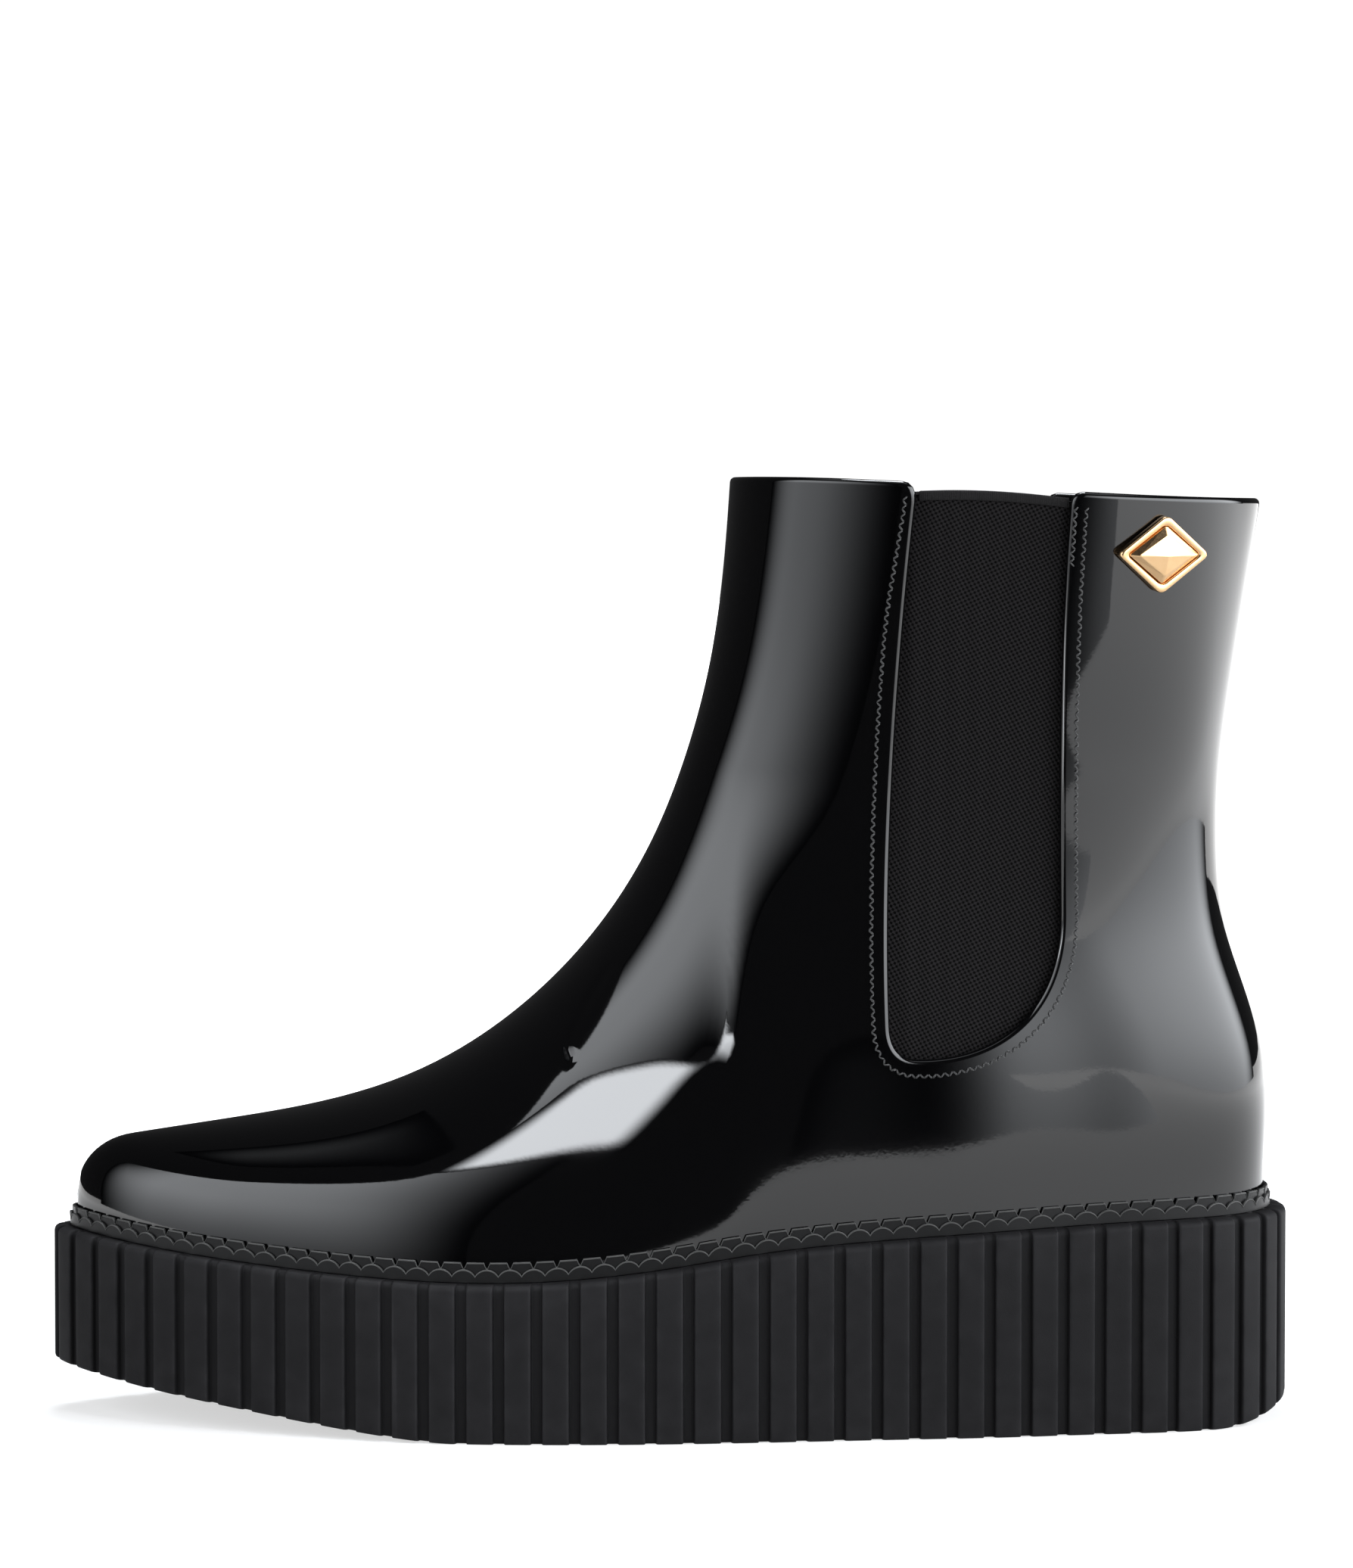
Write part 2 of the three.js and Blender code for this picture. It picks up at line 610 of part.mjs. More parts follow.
const POSTS = { front: -POST_SPACING, rear: POST_SPACING };
function badgeFrame() {
  let tray = plate(lozenge(0, 0.12), GAP, GAP + TRAY_THICK);
  tray = tray.subtract(plate(lozenge(RIM_WIDTH, 0.1), GAP + TRAY_FLOOR, TRAY_THICK + CUT_PAST));
  for (const x of Object.values(POSTS)) {
    tray = tray.add(rod(POST_RADIUS, -POST_LENGTH, GAP + TRAY_FLOOR / 2, x));
  }
  return tray;
}

// Faceted stud: a low pyramid with a flat bevel round its foot.
function badgeStud() {
  const tips = lozengeTips(RIM_WIDTH + STUD_GAP / TIP_SHARPNESS[0]);
  const ring = (scale, z) => tips.map((p) => new THREE.Vector3(p.x * scale, p.y * scale, z));
  const low = 2 * GAP + TRAY_FLOOR;
  const rings = [ring(1, low), ring(1, low + STUD_LEVELS[0]), ring(STUD_FACET, low + STUD_LEVELS[1])];
  const tip = new THREE.Vector3(0, 0, low + STUD_LEVELS[2]);
  const foot = new THREE.Vector3(0, 0, low);
  const corners = [];
  for (let i = 0; i < 4; i++) {
    const next = (i + 1) % 4;
    quad(corners, rings[0][i], rings[0][next], rings[1][next], rings[1][i]);
    quad(corners, rings[1][i], rings[1][next], rings[2][next], rings[2][i]);
    corners.push(rings[2][i], rings[2][next], tip, rings[0][next], rings[0][i], foot);
  }
  return solidOf(corners);
}

// Each nut seats on the lining, which curves away behind the flat badge.
const NUT_SINK = 1.7;
function pushNut(x) {
  const seat = -UPPER_WALL - NUT_SINK;
  const hole = rod(POST_RADIUS + GAP, seat - NUT_THICK - CUT_PAST, seat + CUT_PAST, x);
  return rod(NUT_RADIUS, seat - NUT_THICK, seat, x).subtract(hole);
}

function upper() {
  const sideView = prism(upperOutline(), -BEYOND_SIDE, BEYOND_SIDE);
  let solid = skins.surface.subtract(skins.lining).intersect(sideView);
  for (const x of Object.values(POSTS)) {
    const hole = rod(POST_RADIUS + GAP, -UPPER_WALL - CUT_PAST, CUT_PAST, x);
    solid = solid.subtract(hole.transform(badgePlace.toArray()));
  }
  return solid;
}

// ---------- materials ----------
const finish = (color, roughness, metalness = 0) =>
  new THREE.MeshStandardMaterial({ color, roughness, metalness });
const glossyPvc = finish(0x0b0b0c, 0.08);
const mattRubber = finish(0x1b1b1c, 0.7);
const elasticCloth = finish(0x0d0d0d, 0.9);
const thread = finish(0x111111, 0.75);
const gold = finish(0xd9a85c, 0.22, 1);
const steel = finish(0xb8b8b8, 0.4, 1);
const foam = finish(0x4a4a4a, 0.95);
const board = finish(0x8a7a62, 0.9);
const sock = finish(0x161616, 0.85);

// ---------- assembly ----------
const boot = new THREE.Group();
function place(name, solid, material, matrix) {
  const mesh = new THREE.Mesh(geometryOf(solid), material);
  mesh.name = name;
  if (matrix) matrix.decompose(mesh.position, mesh.quaternion, mesh.scale);
  boot.add(mesh);
}

place('platform_sole', platform(), mattRubber);
for (const [name, range] of Object.entries(POCKETS)) place(`foam_core_${name}`, pocket(range, GAP), foam);
place('insole_board', footbedLayer(FOOTBED.board), board);
place('footbed_foam', footbedLayer(FOOTBED.foam), foam);
place('footbed_cover', footbedLayer(FOOTBED.cover), sock);
place('welt_strip', welt(), glossyPvc);
place('upper_shell', upper(), glossyPvc);
for (const [name, side] of Object.entries(SIDES)) {
  place(`gusset_${name}`, gusset(side), elasticCloth);
  place(`gusset_binding_${name}`, binding(side), elasticCloth);
  place(`seam_thread_${name}`, seam(side), thread);
}
place('badge_frame', badgeFrame(), gold, badgePlace);
place('badge_stud', badgeStud(), gold, badgePlace);
for (const [name, x] of Object.entries(POSTS)) place(`badge_push_nut_${name}`, pushNut(x), steel, badgePlace);

export default boot;
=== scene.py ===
"""Looks of the platform Chelsea rain boot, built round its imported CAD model.

Shapes are worked out in millimetres in the frame of the part: toe to -X, outer side to -Y, +Z up.
"""
import math

import bpy
import numpy as np
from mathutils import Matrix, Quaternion, Vector
from mathutils.geometry import delaunay_2d_cdt

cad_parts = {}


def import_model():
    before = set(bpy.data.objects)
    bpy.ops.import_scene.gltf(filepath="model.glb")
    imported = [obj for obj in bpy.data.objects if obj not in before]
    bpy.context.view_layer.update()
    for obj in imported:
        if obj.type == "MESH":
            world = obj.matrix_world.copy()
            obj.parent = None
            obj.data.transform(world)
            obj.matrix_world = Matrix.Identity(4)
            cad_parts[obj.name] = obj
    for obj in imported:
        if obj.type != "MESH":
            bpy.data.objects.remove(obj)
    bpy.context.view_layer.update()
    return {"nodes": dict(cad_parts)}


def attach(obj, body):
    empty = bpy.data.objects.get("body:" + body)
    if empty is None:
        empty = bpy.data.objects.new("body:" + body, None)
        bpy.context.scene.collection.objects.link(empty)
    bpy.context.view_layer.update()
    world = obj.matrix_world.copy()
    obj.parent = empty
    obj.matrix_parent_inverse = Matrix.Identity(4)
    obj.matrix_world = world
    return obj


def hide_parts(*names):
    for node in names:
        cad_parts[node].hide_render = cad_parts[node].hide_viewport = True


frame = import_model()

MM = 0.001

# ---------- driving dimensions, as in the CAD model ----------
TOE_X, HEEL_X = -137.8, 137.4
FOOT_LENGTH = HEEL_X - TOE_X
TOE_RADIUS, HEEL_RADIUS = 7.5, 30.0  # of the foot outline seen from above
WALL = 2.4
TOP_FRONT_Z, TOP_BACK_Z = 216.4, 211.3
TOP_RAMP = (10, 135)  # the top edge falls between these places
TOP_CORNER = 3.0  # round corners where the top edge meets a side opening
WELT_HEIGHT = 4.7
SOLE_EDGE = 5.3  # how far the sole stands out from the foot outline
RIB_COUNT = 76
RIB_DEPTH = 1.5
FIRST_CREST = 0.064  # middle of the first rib, as a share of the pitch past the toe
SOLE_WALL = 9.0
SOLE_FLOOR = 6.0
TOE_LIFT_START, TOE_LIFT, TOE_LIFT_EASE = -48, 0.146, 14
HEEL_LIFT_START, HEEL_LIFT = 124, 0.0133
GUSSET_GAP = 0.3
GUSSET_THICK = 1.6
GUSSET_MARGIN = 7.0  # hidden border of the elastic behind the upper
SEAM_OFFSET = 3.5
BADGE_X, BADGE_Z = 110.0, 199.0
SIDES = {"lateral": -1.0, "medial": 1.0}


# ---------- curves ----------
def smooth(rows):
    """Smooth curve through (position, value) rows. It runs on straight beyond its ends."""
    at, value = np.array(rows, float).T
    span, n = np.diff(at), len(at)
    slope = np.diff(value) / span
    system, right = np.eye(n), np.zeros(n)
    for i in range(1, n - 1):
        system[i, i - 1 : i + 2] = span[i - 1], 2 * (span[i - 1] + span[i]), span[i]
        right[i] = 6 * (slope[i] - slope[i - 1])
    bend = np.linalg.solve(system, right)

    def curve(x):
        x = np.asarray(x, float)
        i = np.clip(np.searchsorted(at, x, side="right") - 1, 0, n - 2)
        b = (x - at[i]) / span[i]
        a = 1 - b
        inside = a * value[i] + b * value[i + 1]
        inside = inside + ((a**3 - a) * bend[i] + (b**3 - b) * bend[i + 1]) * span[i] ** 2 / 6
        low = value[0] + (x - at[0]) * (slope[0] - span[0] * bend[1] / 6)
        high = value[-1] + (x - at[-1]) * (slope[-1] + span[-1] * bend[-2] / 6)
        return np.where(x < at[0], low, np.where(x > at[-1], high, inside))

    return curve


def ease(value):
    value = np.clip(value, 0, 1)
    return value * value * (3 - 2 * value)


RIDGE = np.array([
    (-140, 61.7), (-126.5, 63.9), (-104, 67.4), (-83.6, 71), (-60.7, 78), (-47.2, 85), (-37.2, 92),
    (-19.2, 109.5), (-5.3, 130.5), (3.5, 152), (9.1, 173), (12.2, 194), (14, 217),
])  # side-view line over the foot and up the front of the shaft
ridge_length = np.concatenate([[0], np.cumsum(np.hypot(*np.diff(RIDGE, axis=0).T))])
ridge_x = smooth(np.column_stack([ridge_length, RIDGE[:, 0]]))
ridge_z = smooth(np.column_stack([ridge_length, RIDGE[:, 1]]))
fine_ridge = np.append(np.linspace(-20, 280, 12001), 3000)
fine_ridge_x, fine_ridge_z = ridge_x(fine_ridge), ridge_z(fine_ridge)

NOSE_Z, NOSE_LENGTH, NOSE_POWER = 50.0, 13.0, 2.3
back_at = smooth([
    (44, 137.4), (56, 137.4), (70, 138), (85, 137), (99, 132.9), (113, 128.4), (130.5, 126.4), (148, 126.7),
    (169, 129.2), (190, 132.4), (207.7, 135.3), (222, 137.5),
])
sole_top_at = smooth([
    (-142, 43.2), (-120, 40.8), (-97, 38.6), (-75, 37), (-55, 36), (-38, 35.8), (-20, 36.7), (0, 39),
    (20, 42), (40, 44), (65, 45.6), (90, 47), (115, 48), (140, 48.4),
])
middle_at = smooth([(-138, 4.7), (-110, 3.7), (-80, 2.7), (-50, 1.6), (-15, 0.7), (140, 0.7)])
shaft_width_at = smooth([
    (75, 36), (100, 34.6), (125, 34.4), (150, 35.6), (175, 38.2), (200, 41.2), (220, 43.8),
])
dome_at = smooth([(-137, 3), (-90, 2.7), (-50, 2.2), (0, 2), (140, 2)])
SHAFT_FULLNESS = 1.4
FOOT_TO_SHAFT = (80, 150)
OUTER_WIDTHS = [
    (-131, 11.6), (-120, 21), (-95, 33.4), (-65, 43), (-30, 46.4), (10, 43.8), (55, 37.8), (75, 35.2),
    (95, 31.4), (122, 25),
]
INNER_WIDTHS = [
    (-131, 10.8), (-120, 19), (-95, 31.6), (-65, 42), (-30, 42.8), (10, 34.8), (55, 28.6), (95, 30),
    (122, 26),
]


def front_at(z):
    return np.interp(z, fine_ridge_z, fine_ridge_x)


def top_at(x):
    ridge = np.interp(x, fine_ridge_x, fine_ridge_z)
    inward = 1 - np.clip((x - TOE_X) / NOSE_LENGTH, 0, 1)
    return NOSE_Z + (ridge - NOSE_Z) * (1 - inward**NOSE_POWER) ** (1 / NOSE_POWER)


def sole_bottom_at(x):
    """Height of the underside, which curls up at the toe and a little at the heel."""
    ahead, behind = np.maximum(0, TOE_LIFT_START - x), np.maximum(0, x - HEEL_LIFT_START)
    return TOE_LIFT * ahead**2 / (ahead + TOE_LIFT_EASE) + HEEL_LIFT * behind**2


def reach(x):
    return (x - TOE_X) * (HEEL_X - x)


def roundness(widths):
    inside = [(x, width**2 / reach(x)) for x, width in widths]
    return smooth([(TOE_X, 2 * TOE_RADIUS / FOOT_LENGTH), *inside, (HEEL_X, 2 * HEEL_RADIUS / FOOT_LENGTH)])


outer_roundness, inner_roundness = roundness(OUTER_WIDTHS), roundness(INNER_WIDTHS)


def shaft_share(z):
    return ease((z - FOOT_TO_SHAFT[0]) / (FOOT_TO_SHAFT[1] - FOOT_TO_SHAFT[0]))


def centre_at(x, z):
    return middle_at(x) * (1 - shaft_share(z))


CREASE = np.array([(-13.5, 105), (-17.5, 99), (-21, 92.5), (-23.2, 87.5), (-22.4, 85.4)])
CREASE_DEPTH, CREASE_REACH = 0.35, 1.0
CREASE_SPACING, CREASE_BAND, CREASE_ROWS = 0.8, 2.8, 8  # extra mesh points along it


def crease_at(x, z):
    """Depth of the small walking crease at the front of the ankle, on the outer side."""
    place = np.stack(np.broadcast_arrays(x, z), -1)
    nearest = np.full(place.shape[:-1], np.inf)
    for start, end in zip(CREASE, CREASE[1:]):
        run = end - start
        along = np.clip((place - start) @ run / (run @ run), 0, 1)
        nearest = np.minimum(nearest, np.linalg.norm(place - start - along[..., None] * run, axis=-1))
    return CREASE_DEPTH * np.exp(-((nearest / CREASE_REACH) ** 2))


LEAST_DENTED = 2.0  # half-width below which the crease is left out


def width_squared(x, z, side):
    """Square of the upper's half-width at places in the side view. It falls to zero on the silhouette."""
    back, share = back_at(z), shaft_share(z)
    along = TOE_X + (x - TOE_X) * FOOT_LENGTH / (back - TOE_X)
    round_there = outer_roundness(along) if side < 0 else inner_roundness(along)
    base = sole_top_at(x)
    rise = np.maximum(0, (z - base) / (top_at(x) - base))
    foot = round_there * reach(along) * (1 - rise ** dome_at(x))
    front = front_at(z)
    place = (x - front) / (back - front)
    oval = 1 - np.abs(1 - 4 * place * (1 - place)) ** SHAFT_FULLNESS
    squared = foot * (1 - share) + np.where(share > 0, shaft_width_at(z) ** 2 * oval * share, 0)
    dented = (np.sqrt(np.maximum(squared, 0)) - crease_at(x, z)) ** 2
    return np.where((side < 0) & (squared > LEAST_DENTED**2), dented, squared)


PROBE = 0.3  # distance over which slopes are measured


def surface(x, z, side, silhouette=False):
    """Points of the upper's outer surface on one side, and the outward directions there."""
    x, z = np.asarray(x, float), np.asarray(z, float)
    on_edge = np.broadcast_to(silhouette, x.shape)
    width = np.where(on_edge, 0, np.sqrt(np.maximum(0, width_squared(x, z, side))))

    def slope(dx, dz):
        def rise(of):
            return (width_squared(x + dx, z + dz, of) - width_squared(x - dx, z - dz, of)) / (2 * PROBE)

        drift = (centre_at(x + dx, z + dz) - centre_at(x - dx, z - dz)) / PROBE
        return np.where(on_edge, rise(-1) + rise(1), rise(side)) + side * width * drift

    outward = np.stack([-slope(PROBE, 0), 2 * side * width, -slope(0, PROBE)], -1)
    outward /= np.linalg.norm(outward, axis=-1, keepdims=True)
    return np.stack([x, centre_at(x, z) + side * width, z], -1), outward


# ---------- the net of lines that covers the upper in the side view ----------
LAST_LINE, BACK_CLIMB, EDGE_LIFT = 1.6, 296.0, 0.15
ridge_of = smooth([
    (0, 2.9), (0.1, 9.6), (0.2, 29.5), (0.3, 60.5), (0.35, 80), (0.41, 99), (0.52, 122), (0.64, 143),
    (0.78, 160), (1, 176), (1.13, 189), (1.22, 203), (1.36, 224), (1.5, 246), (1.6, 268),
])  # distance along the ridge where each line of the net starts
HALVINGS = 50


def line_ends(count):
    """Side-view ends of a line of the net: on the ridge, and on the lower edge or the back."""
    x = np.where(count < 1, TOE_X + FOOT_LENGTH * (1 - np.cos(np.pi * np.minimum(count, 1))) / 2, HEEL_X)
    z = sole_top_at(x) + EDGE_LIFT + np.maximum(0, count - 1) * BACK_CLIMB
    x = np.where(count < 1, x, back_at(z))
    top_x = np.where(count <= 0, TOE_X, ridge_x(ridge_of(count)))
    return np.stack([top_x, top_at(top_x)], -1), np.stack([x, z], -1)


def net_to_side(count, step):
    """Side-view place of a net point. Steps run from 0 on the ridge to 1 at the far end of the line."""
    start, end = line_ends(count)
    part = ((1 - np.cos(np.pi * step)) / 2)[..., None]
    return start + (end - start) * part


def side_to_net(points):
    """Net place of side-view points."""
    low, high = np.zeros(len(points)), np.full(len(points), LAST_LINE)
    for _ in range(HALVINGS):
        middle = (low + high) / 2
        start, end = line_ends(middle)
        line, away = end - start, points - start
        beyond = line[:, 0] * away[:, 1] - line[:, 1] * away[:, 0] > 0
        low, high = np.where(beyond, middle, low), np.where(beyond, high, middle)
    start, end = line_ends(low)
    part = ((points - start) * (end - start)).sum(1) / ((end - start) ** 2).sum(1)
    return np.stack([low, np.arccos(1 - 2 * np.clip(part, 0, 1)) / np.pi], -1)


# ---------- side openings ----------
def bezier(*points, steps=24):
    """Bezier curve with any number of control points."""
    t = np.linspace(0, 1, steps + 1)[:, None]
    degree = len(points) - 1
    shares = [math.comb(degree, i) * (1 - t) ** (degree - i) * t**i for i in range(degree + 1)]
    return sum(share * np.array(point, float) for share, point in zip(shares, points))


def resample(points, spacing):
    """The same line with points at an even spacing."""
    length = np.concatenate([[0], np.cumsum(np.linalg.norm(np.diff(points, axis=0), axis=1))])
    places = np.linspace(0, length[-1], max(2, round(length[-1] / spacing) + 1))
    return np.stack([np.interp(places, length, points[:, k]) for k in range(points.shape[1])], -1)


def shift(points, distance):
    """A side-view line moved to its right-hand side by a distance."""
    ahead = np.gradient(points, axis=0)
    ahead /= np.linalg.norm(ahead, axis=1, keepdims=True)
    distance = np.broadcast_to(distance, len(points))[:, None]
    return points + np.stack([ahead[:, 1], -ahead[:, 0]], -1) * distance


def opening_edge():
    """Edge of a side opening, from the top at the front, round the bottom, to the top at the back."""
    pieces = [
        bezier((55.8, 219), (51, 178), (48.2, 130), (49.7, 92), steps=60),
        bezier((49.7, 92), (50.2, 85.3), (56, 85.2), steps=16),
        bezier((56, 85.2), (71, 84.8), (88.4, 92.5), (88.4, 117), steps=40),
        bezier((88.4, 117), (88, 145), (87.2, 185), (90.4, 219), steps=60),
    ]
    return np.concatenate([pieces[0]] + [piece[1:] for piece in pieces[1:]])


OPENING = opening_edge()


def top_edge_at(x):
    return TOP_FRONT_Z + (TOP_BACK_Z - TOP_FRONT_Z) * ease((x - TOP_RAMP[0]) / (TOP_RAMP[1] - TOP_RAMP[0]))


gusset_top_at = smooth([(50, 212.4), (64, 212.7), (79, 212), (92, 210.6)])
TOP_EDGE_SPAN = (5, 140)  # reaches past the front and the back of the shaft
TOP_EDGE_POINTS, TOP_EDGE_FINE, TOP_EDGE_PITCH = 60, 0.5, 0.9
TOP_EDGE_CLOSING = 8  # points that close the edge towards the silhouette


def upper_edge(inset):
    """Whole top edge of one side of the upper, from the shin over the side opening to the heel."""
    low = OPENING[OPENING[:, 1] < top_edge_at(OPENING[:, 0]) - TOP_CORNER]
    (x0, z0), (x1, z1) = low[0], low[-1]
    front_x, back_x = x0 - TOP_CORNER, x1 + TOP_CORNER
    ahead = np.linspace(TOP_EDGE_SPAN[0], front_x, TOP_EDGE_POINTS)
    behind = np.linspace(back_x, TOP_EDGE_SPAN[1], TOP_EDGE_POINTS)
    front = bezier((front_x, top_edge_at(front_x)), (x0, top_edge_at(x0)), (x0, z0))
    back = bezier((x1, z1), (x1, top_edge_at(x1)), (back_x, top_edge_at(back_x)))
    line = np.concatenate([
        np.stack([ahead, top_edge_at(ahead)], -1)[:-1], front[:-1], low, back[1:],
        np.stack([behind, top_edge_at(behind)], -1)[1:],
    ])
    line = shift(resample(line, TOP_EDGE_FINE), inset)
    inside = (line[:, 0] > front_at(line[:, 1])) & (line[:, 0] < back_at(line[:, 1]))
    line = resample(line[inside], TOP_EDGE_PITCH)
    left = np.linspace(1, 0, TOP_EDGE_CLOSING + 1)[1:] ** 2
    ends = []
    for (x, z), limit in zip((line[0], line[-1]), (front_at(line[0, 1]), back_at(line[-1, 1]))):
        ends.append(np.stack([limit + (x - limit) * left, np.full(TOP_EDGE_CLOSING, z)], -1))
    return np.concatenate([ends[0][::-1], line, ends[1]])


# ---------- meshes ----------
def place_in_scene(name, data):
    """New object in the scene."""
    obj = bpy.data.objects.new(name, data)
    bpy.context.scene.collection.objects.link(obj)
    return obj


def make(name, points, faces, material, node=(), normals=None, smooth_faces=True):
    """A piece of the boot from points in millimetres."""
    mesh = bpy.data.meshes.new(name)
    corners = [tuple(int(i) for i in face) for face in faces]
    mesh.from_pydata((np.asarray(points) * MM).tolist(), [], corners)
    mesh.validate()
    if smooth_faces:
        mesh.shade_smooth()
    if normals is not None:
        mesh.normals_split_custom_set_from_vertices(normals.tolist())
    mesh.materials.append(material)
    piece = place_in_scene(name, mesh)
    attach(piece, "root")
    if node:
        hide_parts(*node)
    return piece


def inside_polygon(points, polygon):
    """Whether each point lies inside a closed polygon."""
    x, y = points[:, :1], points[:, 1:]
    x0, y0 = polygon.T
    x1, y1 = np.roll(polygon, -1, axis=0).T
    crosses = (y0 > y) != (y1 > y)
    with np.errstate(divide="ignore", invalid="ignore"):
        at = x0 + (y - y0) * (x1 - x0) / (y1 - y0)
    return (crosses & (x < at)).sum(1) % 2 == 1


def fill(boundary, interior, clearance):
    """Triangles over a closed boundary, with those interior points that keep clear of it.
    The boundary points come first in the result."""
    keep = inside_polygon(interior, boundary)
    interior = interior[keep]
    near = np.full(len(interior), np.inf)
    for point in boundary:
        near = np.minimum(near, ((interior - point) ** 2).sum(1))
    interior = interior[near > clearance**2]
    points = np.concatenate([boundary, interior])
    n = len(boundary)
    edges = [(i, (i + 1) % n) for i in range(n)]
    result = delaunay_2d_cdt([Vector(p) for p in points], edges, [], 1, 1e-7)
    source = [ids[0] if ids else -1 for ids in result[3]]
    faces = [tuple(source[i] for i in face) for face in result[2]]
    return points, [face for face in faces if -1 not in face]


def strip(first, second, closed=False):
    """Quads between two equally long rows of point numbers."""
    n = len(first)
    last = n if closed else n - 1
    return [(first[i], first[(i + 1) % n], second[(i + 1) % n], second[i]) for i in range(last)]


def looks_inwards(points, face, outward):
    """Whether a face of this mesh points against the outward direction at its first corner."""
    first, second, third = points[list(face[:3])]
    return np.cross(second - first, third - first) @ outward[face[0]] < 0


# ---------- upper ----------
NET_LINES, NET_STEPS = 150, 66
NET_SCALE = np.array([170.0, 110.0])  # brings net counts and steps to about millimetres
NET_CLEARANCE = 0.62  # least distance of inner points from the boundary, as a share of the pitch
RIM_STEPS = 8
LEVEL_POINT = 12  # point of the rim on the level stretch at the front
ON_EDGE = 1e-9  # how near a net place is to an edge of the net to count as on it


def upper_net():
    """Net places of the upper's outer face on one side: boundary points first, and the triangles."""
    rim = side_to_net(upper_edge(WALL / 2))
    rim[0, 1], rim[-1, 1] = 0, 1
    counts = np.linspace(0, LAST_LINE, NET_LINES + 1)
    steps = np.linspace(0, 1, NET_STEPS + 1)
    pitch = counts[1]
    back = counts[counts < rim[-1, 0] - pitch / 2]
    front = counts[counts < rim[0, 0] - pitch / 2]
    sides = [
        rim,
        np.stack([back[::-1], np.ones(len(back))], -1),
        np.stack([np.zeros(NET_STEPS - 1), steps[1:-1][::-1]], -1),
        np.stack([front, np.zeros(len(front))], -1),
    ]
    boundary = np.concatenate(sides)
    inner = np.stack(np.meshgrid(counts[1:], steps[1:-1], indexing="ij"), -1).reshape(-1, 2)
    crease = resample(CREASE, CREASE_SPACING)
    offsets = np.linspace(-CREASE_BAND, CREASE_BAND, CREASE_ROWS)
    inner = np.concatenate([inner, *[side_to_net(shift(crease, offset)) for offset in offsets]])
    points, faces = fill(boundary * NET_SCALE, inner * NET_SCALE, NET_CLEARANCE * pitch * NET_SCALE[0])
    return points / NET_SCALE, faces, len(rim), len(back)


def upper_skin():
    """Outer face of the upper: points, normals, faces, and the closed loops along its top and its hem.
    Points on the silhouette are used by both sides of the boot."""
    net, faces, rim_count, back_count = upper_net()
    count, step = net.T
    places = net_to_side(count, step)
    shared = (step < ON_EDGE) | (count < ON_EDGE) | ((step > 1 - ON_EDGE) & (count >= 1))
    outer, outer_normals = surface(*places.T, SIDES["lateral"], shared)
    inner, inner_normals = surface(*places.T, SIDES["medial"], shared)
    twin = np.arange(len(net))
    twin[~shared] = len(net) + np.arange((~shared).sum())
    skin = [tuple(face) for face in faces] + [tuple(twin[i] for i in reversed(face)) for face in faces]
    if looks_inwards(outer, faces[len(faces) // 2], outer_normals):
        skin = [face[::-1] for face in skin]
    rim = list(range(rim_count)) + [int(twin[i]) for i in range(rim_count - 2, 0, -1)]
    lower = [i for i in range(rim_count, rim_count + back_count) if count[i] <= 1]
    hem = lower + [int(twin[i]) for i in reversed(lower[:-1])]
    points = np.concatenate([outer, inner[~shared]])
    return points, np.concatenate([outer_normals, inner_normals[~shared]]), skin, rim, hem


def rounded_rim(edge, edge_normals):
    """Rows of points, with their normals, that turn the wall over along its top edge."""
    ahead = np.roll(edge, -1, axis=0) - np.roll(edge, 1, axis=0)
    away = np.cross(ahead, edge_normals)
    away /= np.linalg.norm(away, axis=1, keepdims=True)
    if away[LEVEL_POINT, 2] < 0:
        away = -away
    rows, normals = [], []
    for k in range(1, RIM_STEPS):
        up, out = math.sin(math.pi * k / RIM_STEPS), math.cos(math.pi * k / RIM_STEPS)
        rows.append(edge + WALL / 2 * (away * up + edge_normals * (out - 1)))
        normals.append(away * up + edge_normals * out)
    return rows, normals


def upper_shell(material):
    points, normals, skin, rim, hem = upper_skin()
    total, length = len(points), len(rim)
    lining = [tuple(total + i for i in reversed(face)) for face in skin]
    rows, row_normals = rounded_rim(points[rim], normals[rim])
    starts = [2 * total + k * length for k in range(len(rows))]
    loops = [rim, *[range(start, start + length) for start in starts], [total + i for i in rim]]
    turned = [quad for pair in zip(loops, loops[1:]) for quad in strip(*pair, closed=True)]
    faces = skin + lining + turned + strip(hem, [total + i for i in hem])
    every = np.concatenate([points, points - normals * WALL, *rows])
    every_normal = np.concatenate([normals, -normals, *row_normals])
    make("upper", every, faces, material, ["upper_shell"], every_normal)


# ---------- outline of the foot ----------
TURN_PROBE = 1e-4  # share of a turn over which the outline's direction is measured
WALK_POINTS = 8001


def outline(turn, offset):
    """Points of the foot outline moved outwards, at turns from 0 to 1 that start at the toe."""

    def at(t):
        angle = 2 * np.pi * t
        x = TOE_X + FOOT_LENGTH * (1 - np.cos(angle)) / 2
        round_there = np.where(np.sin(angle) > 0, outer_roundness(x), inner_roundness(x))
        return np.stack([x, middle_at(x) - np.sin(angle) * np.sqrt(round_there) * FOOT_LENGTH / 2], -1)

    ahead = at(turn + TURN_PROBE) - at(turn - TURN_PROBE)
    ahead /= np.linalg.norm(ahead, axis=-1, keepdims=True)
    return at(turn) + np.stack([ahead[..., 1], -ahead[..., 0]], -1) * np.asarray(offset)[..., None]


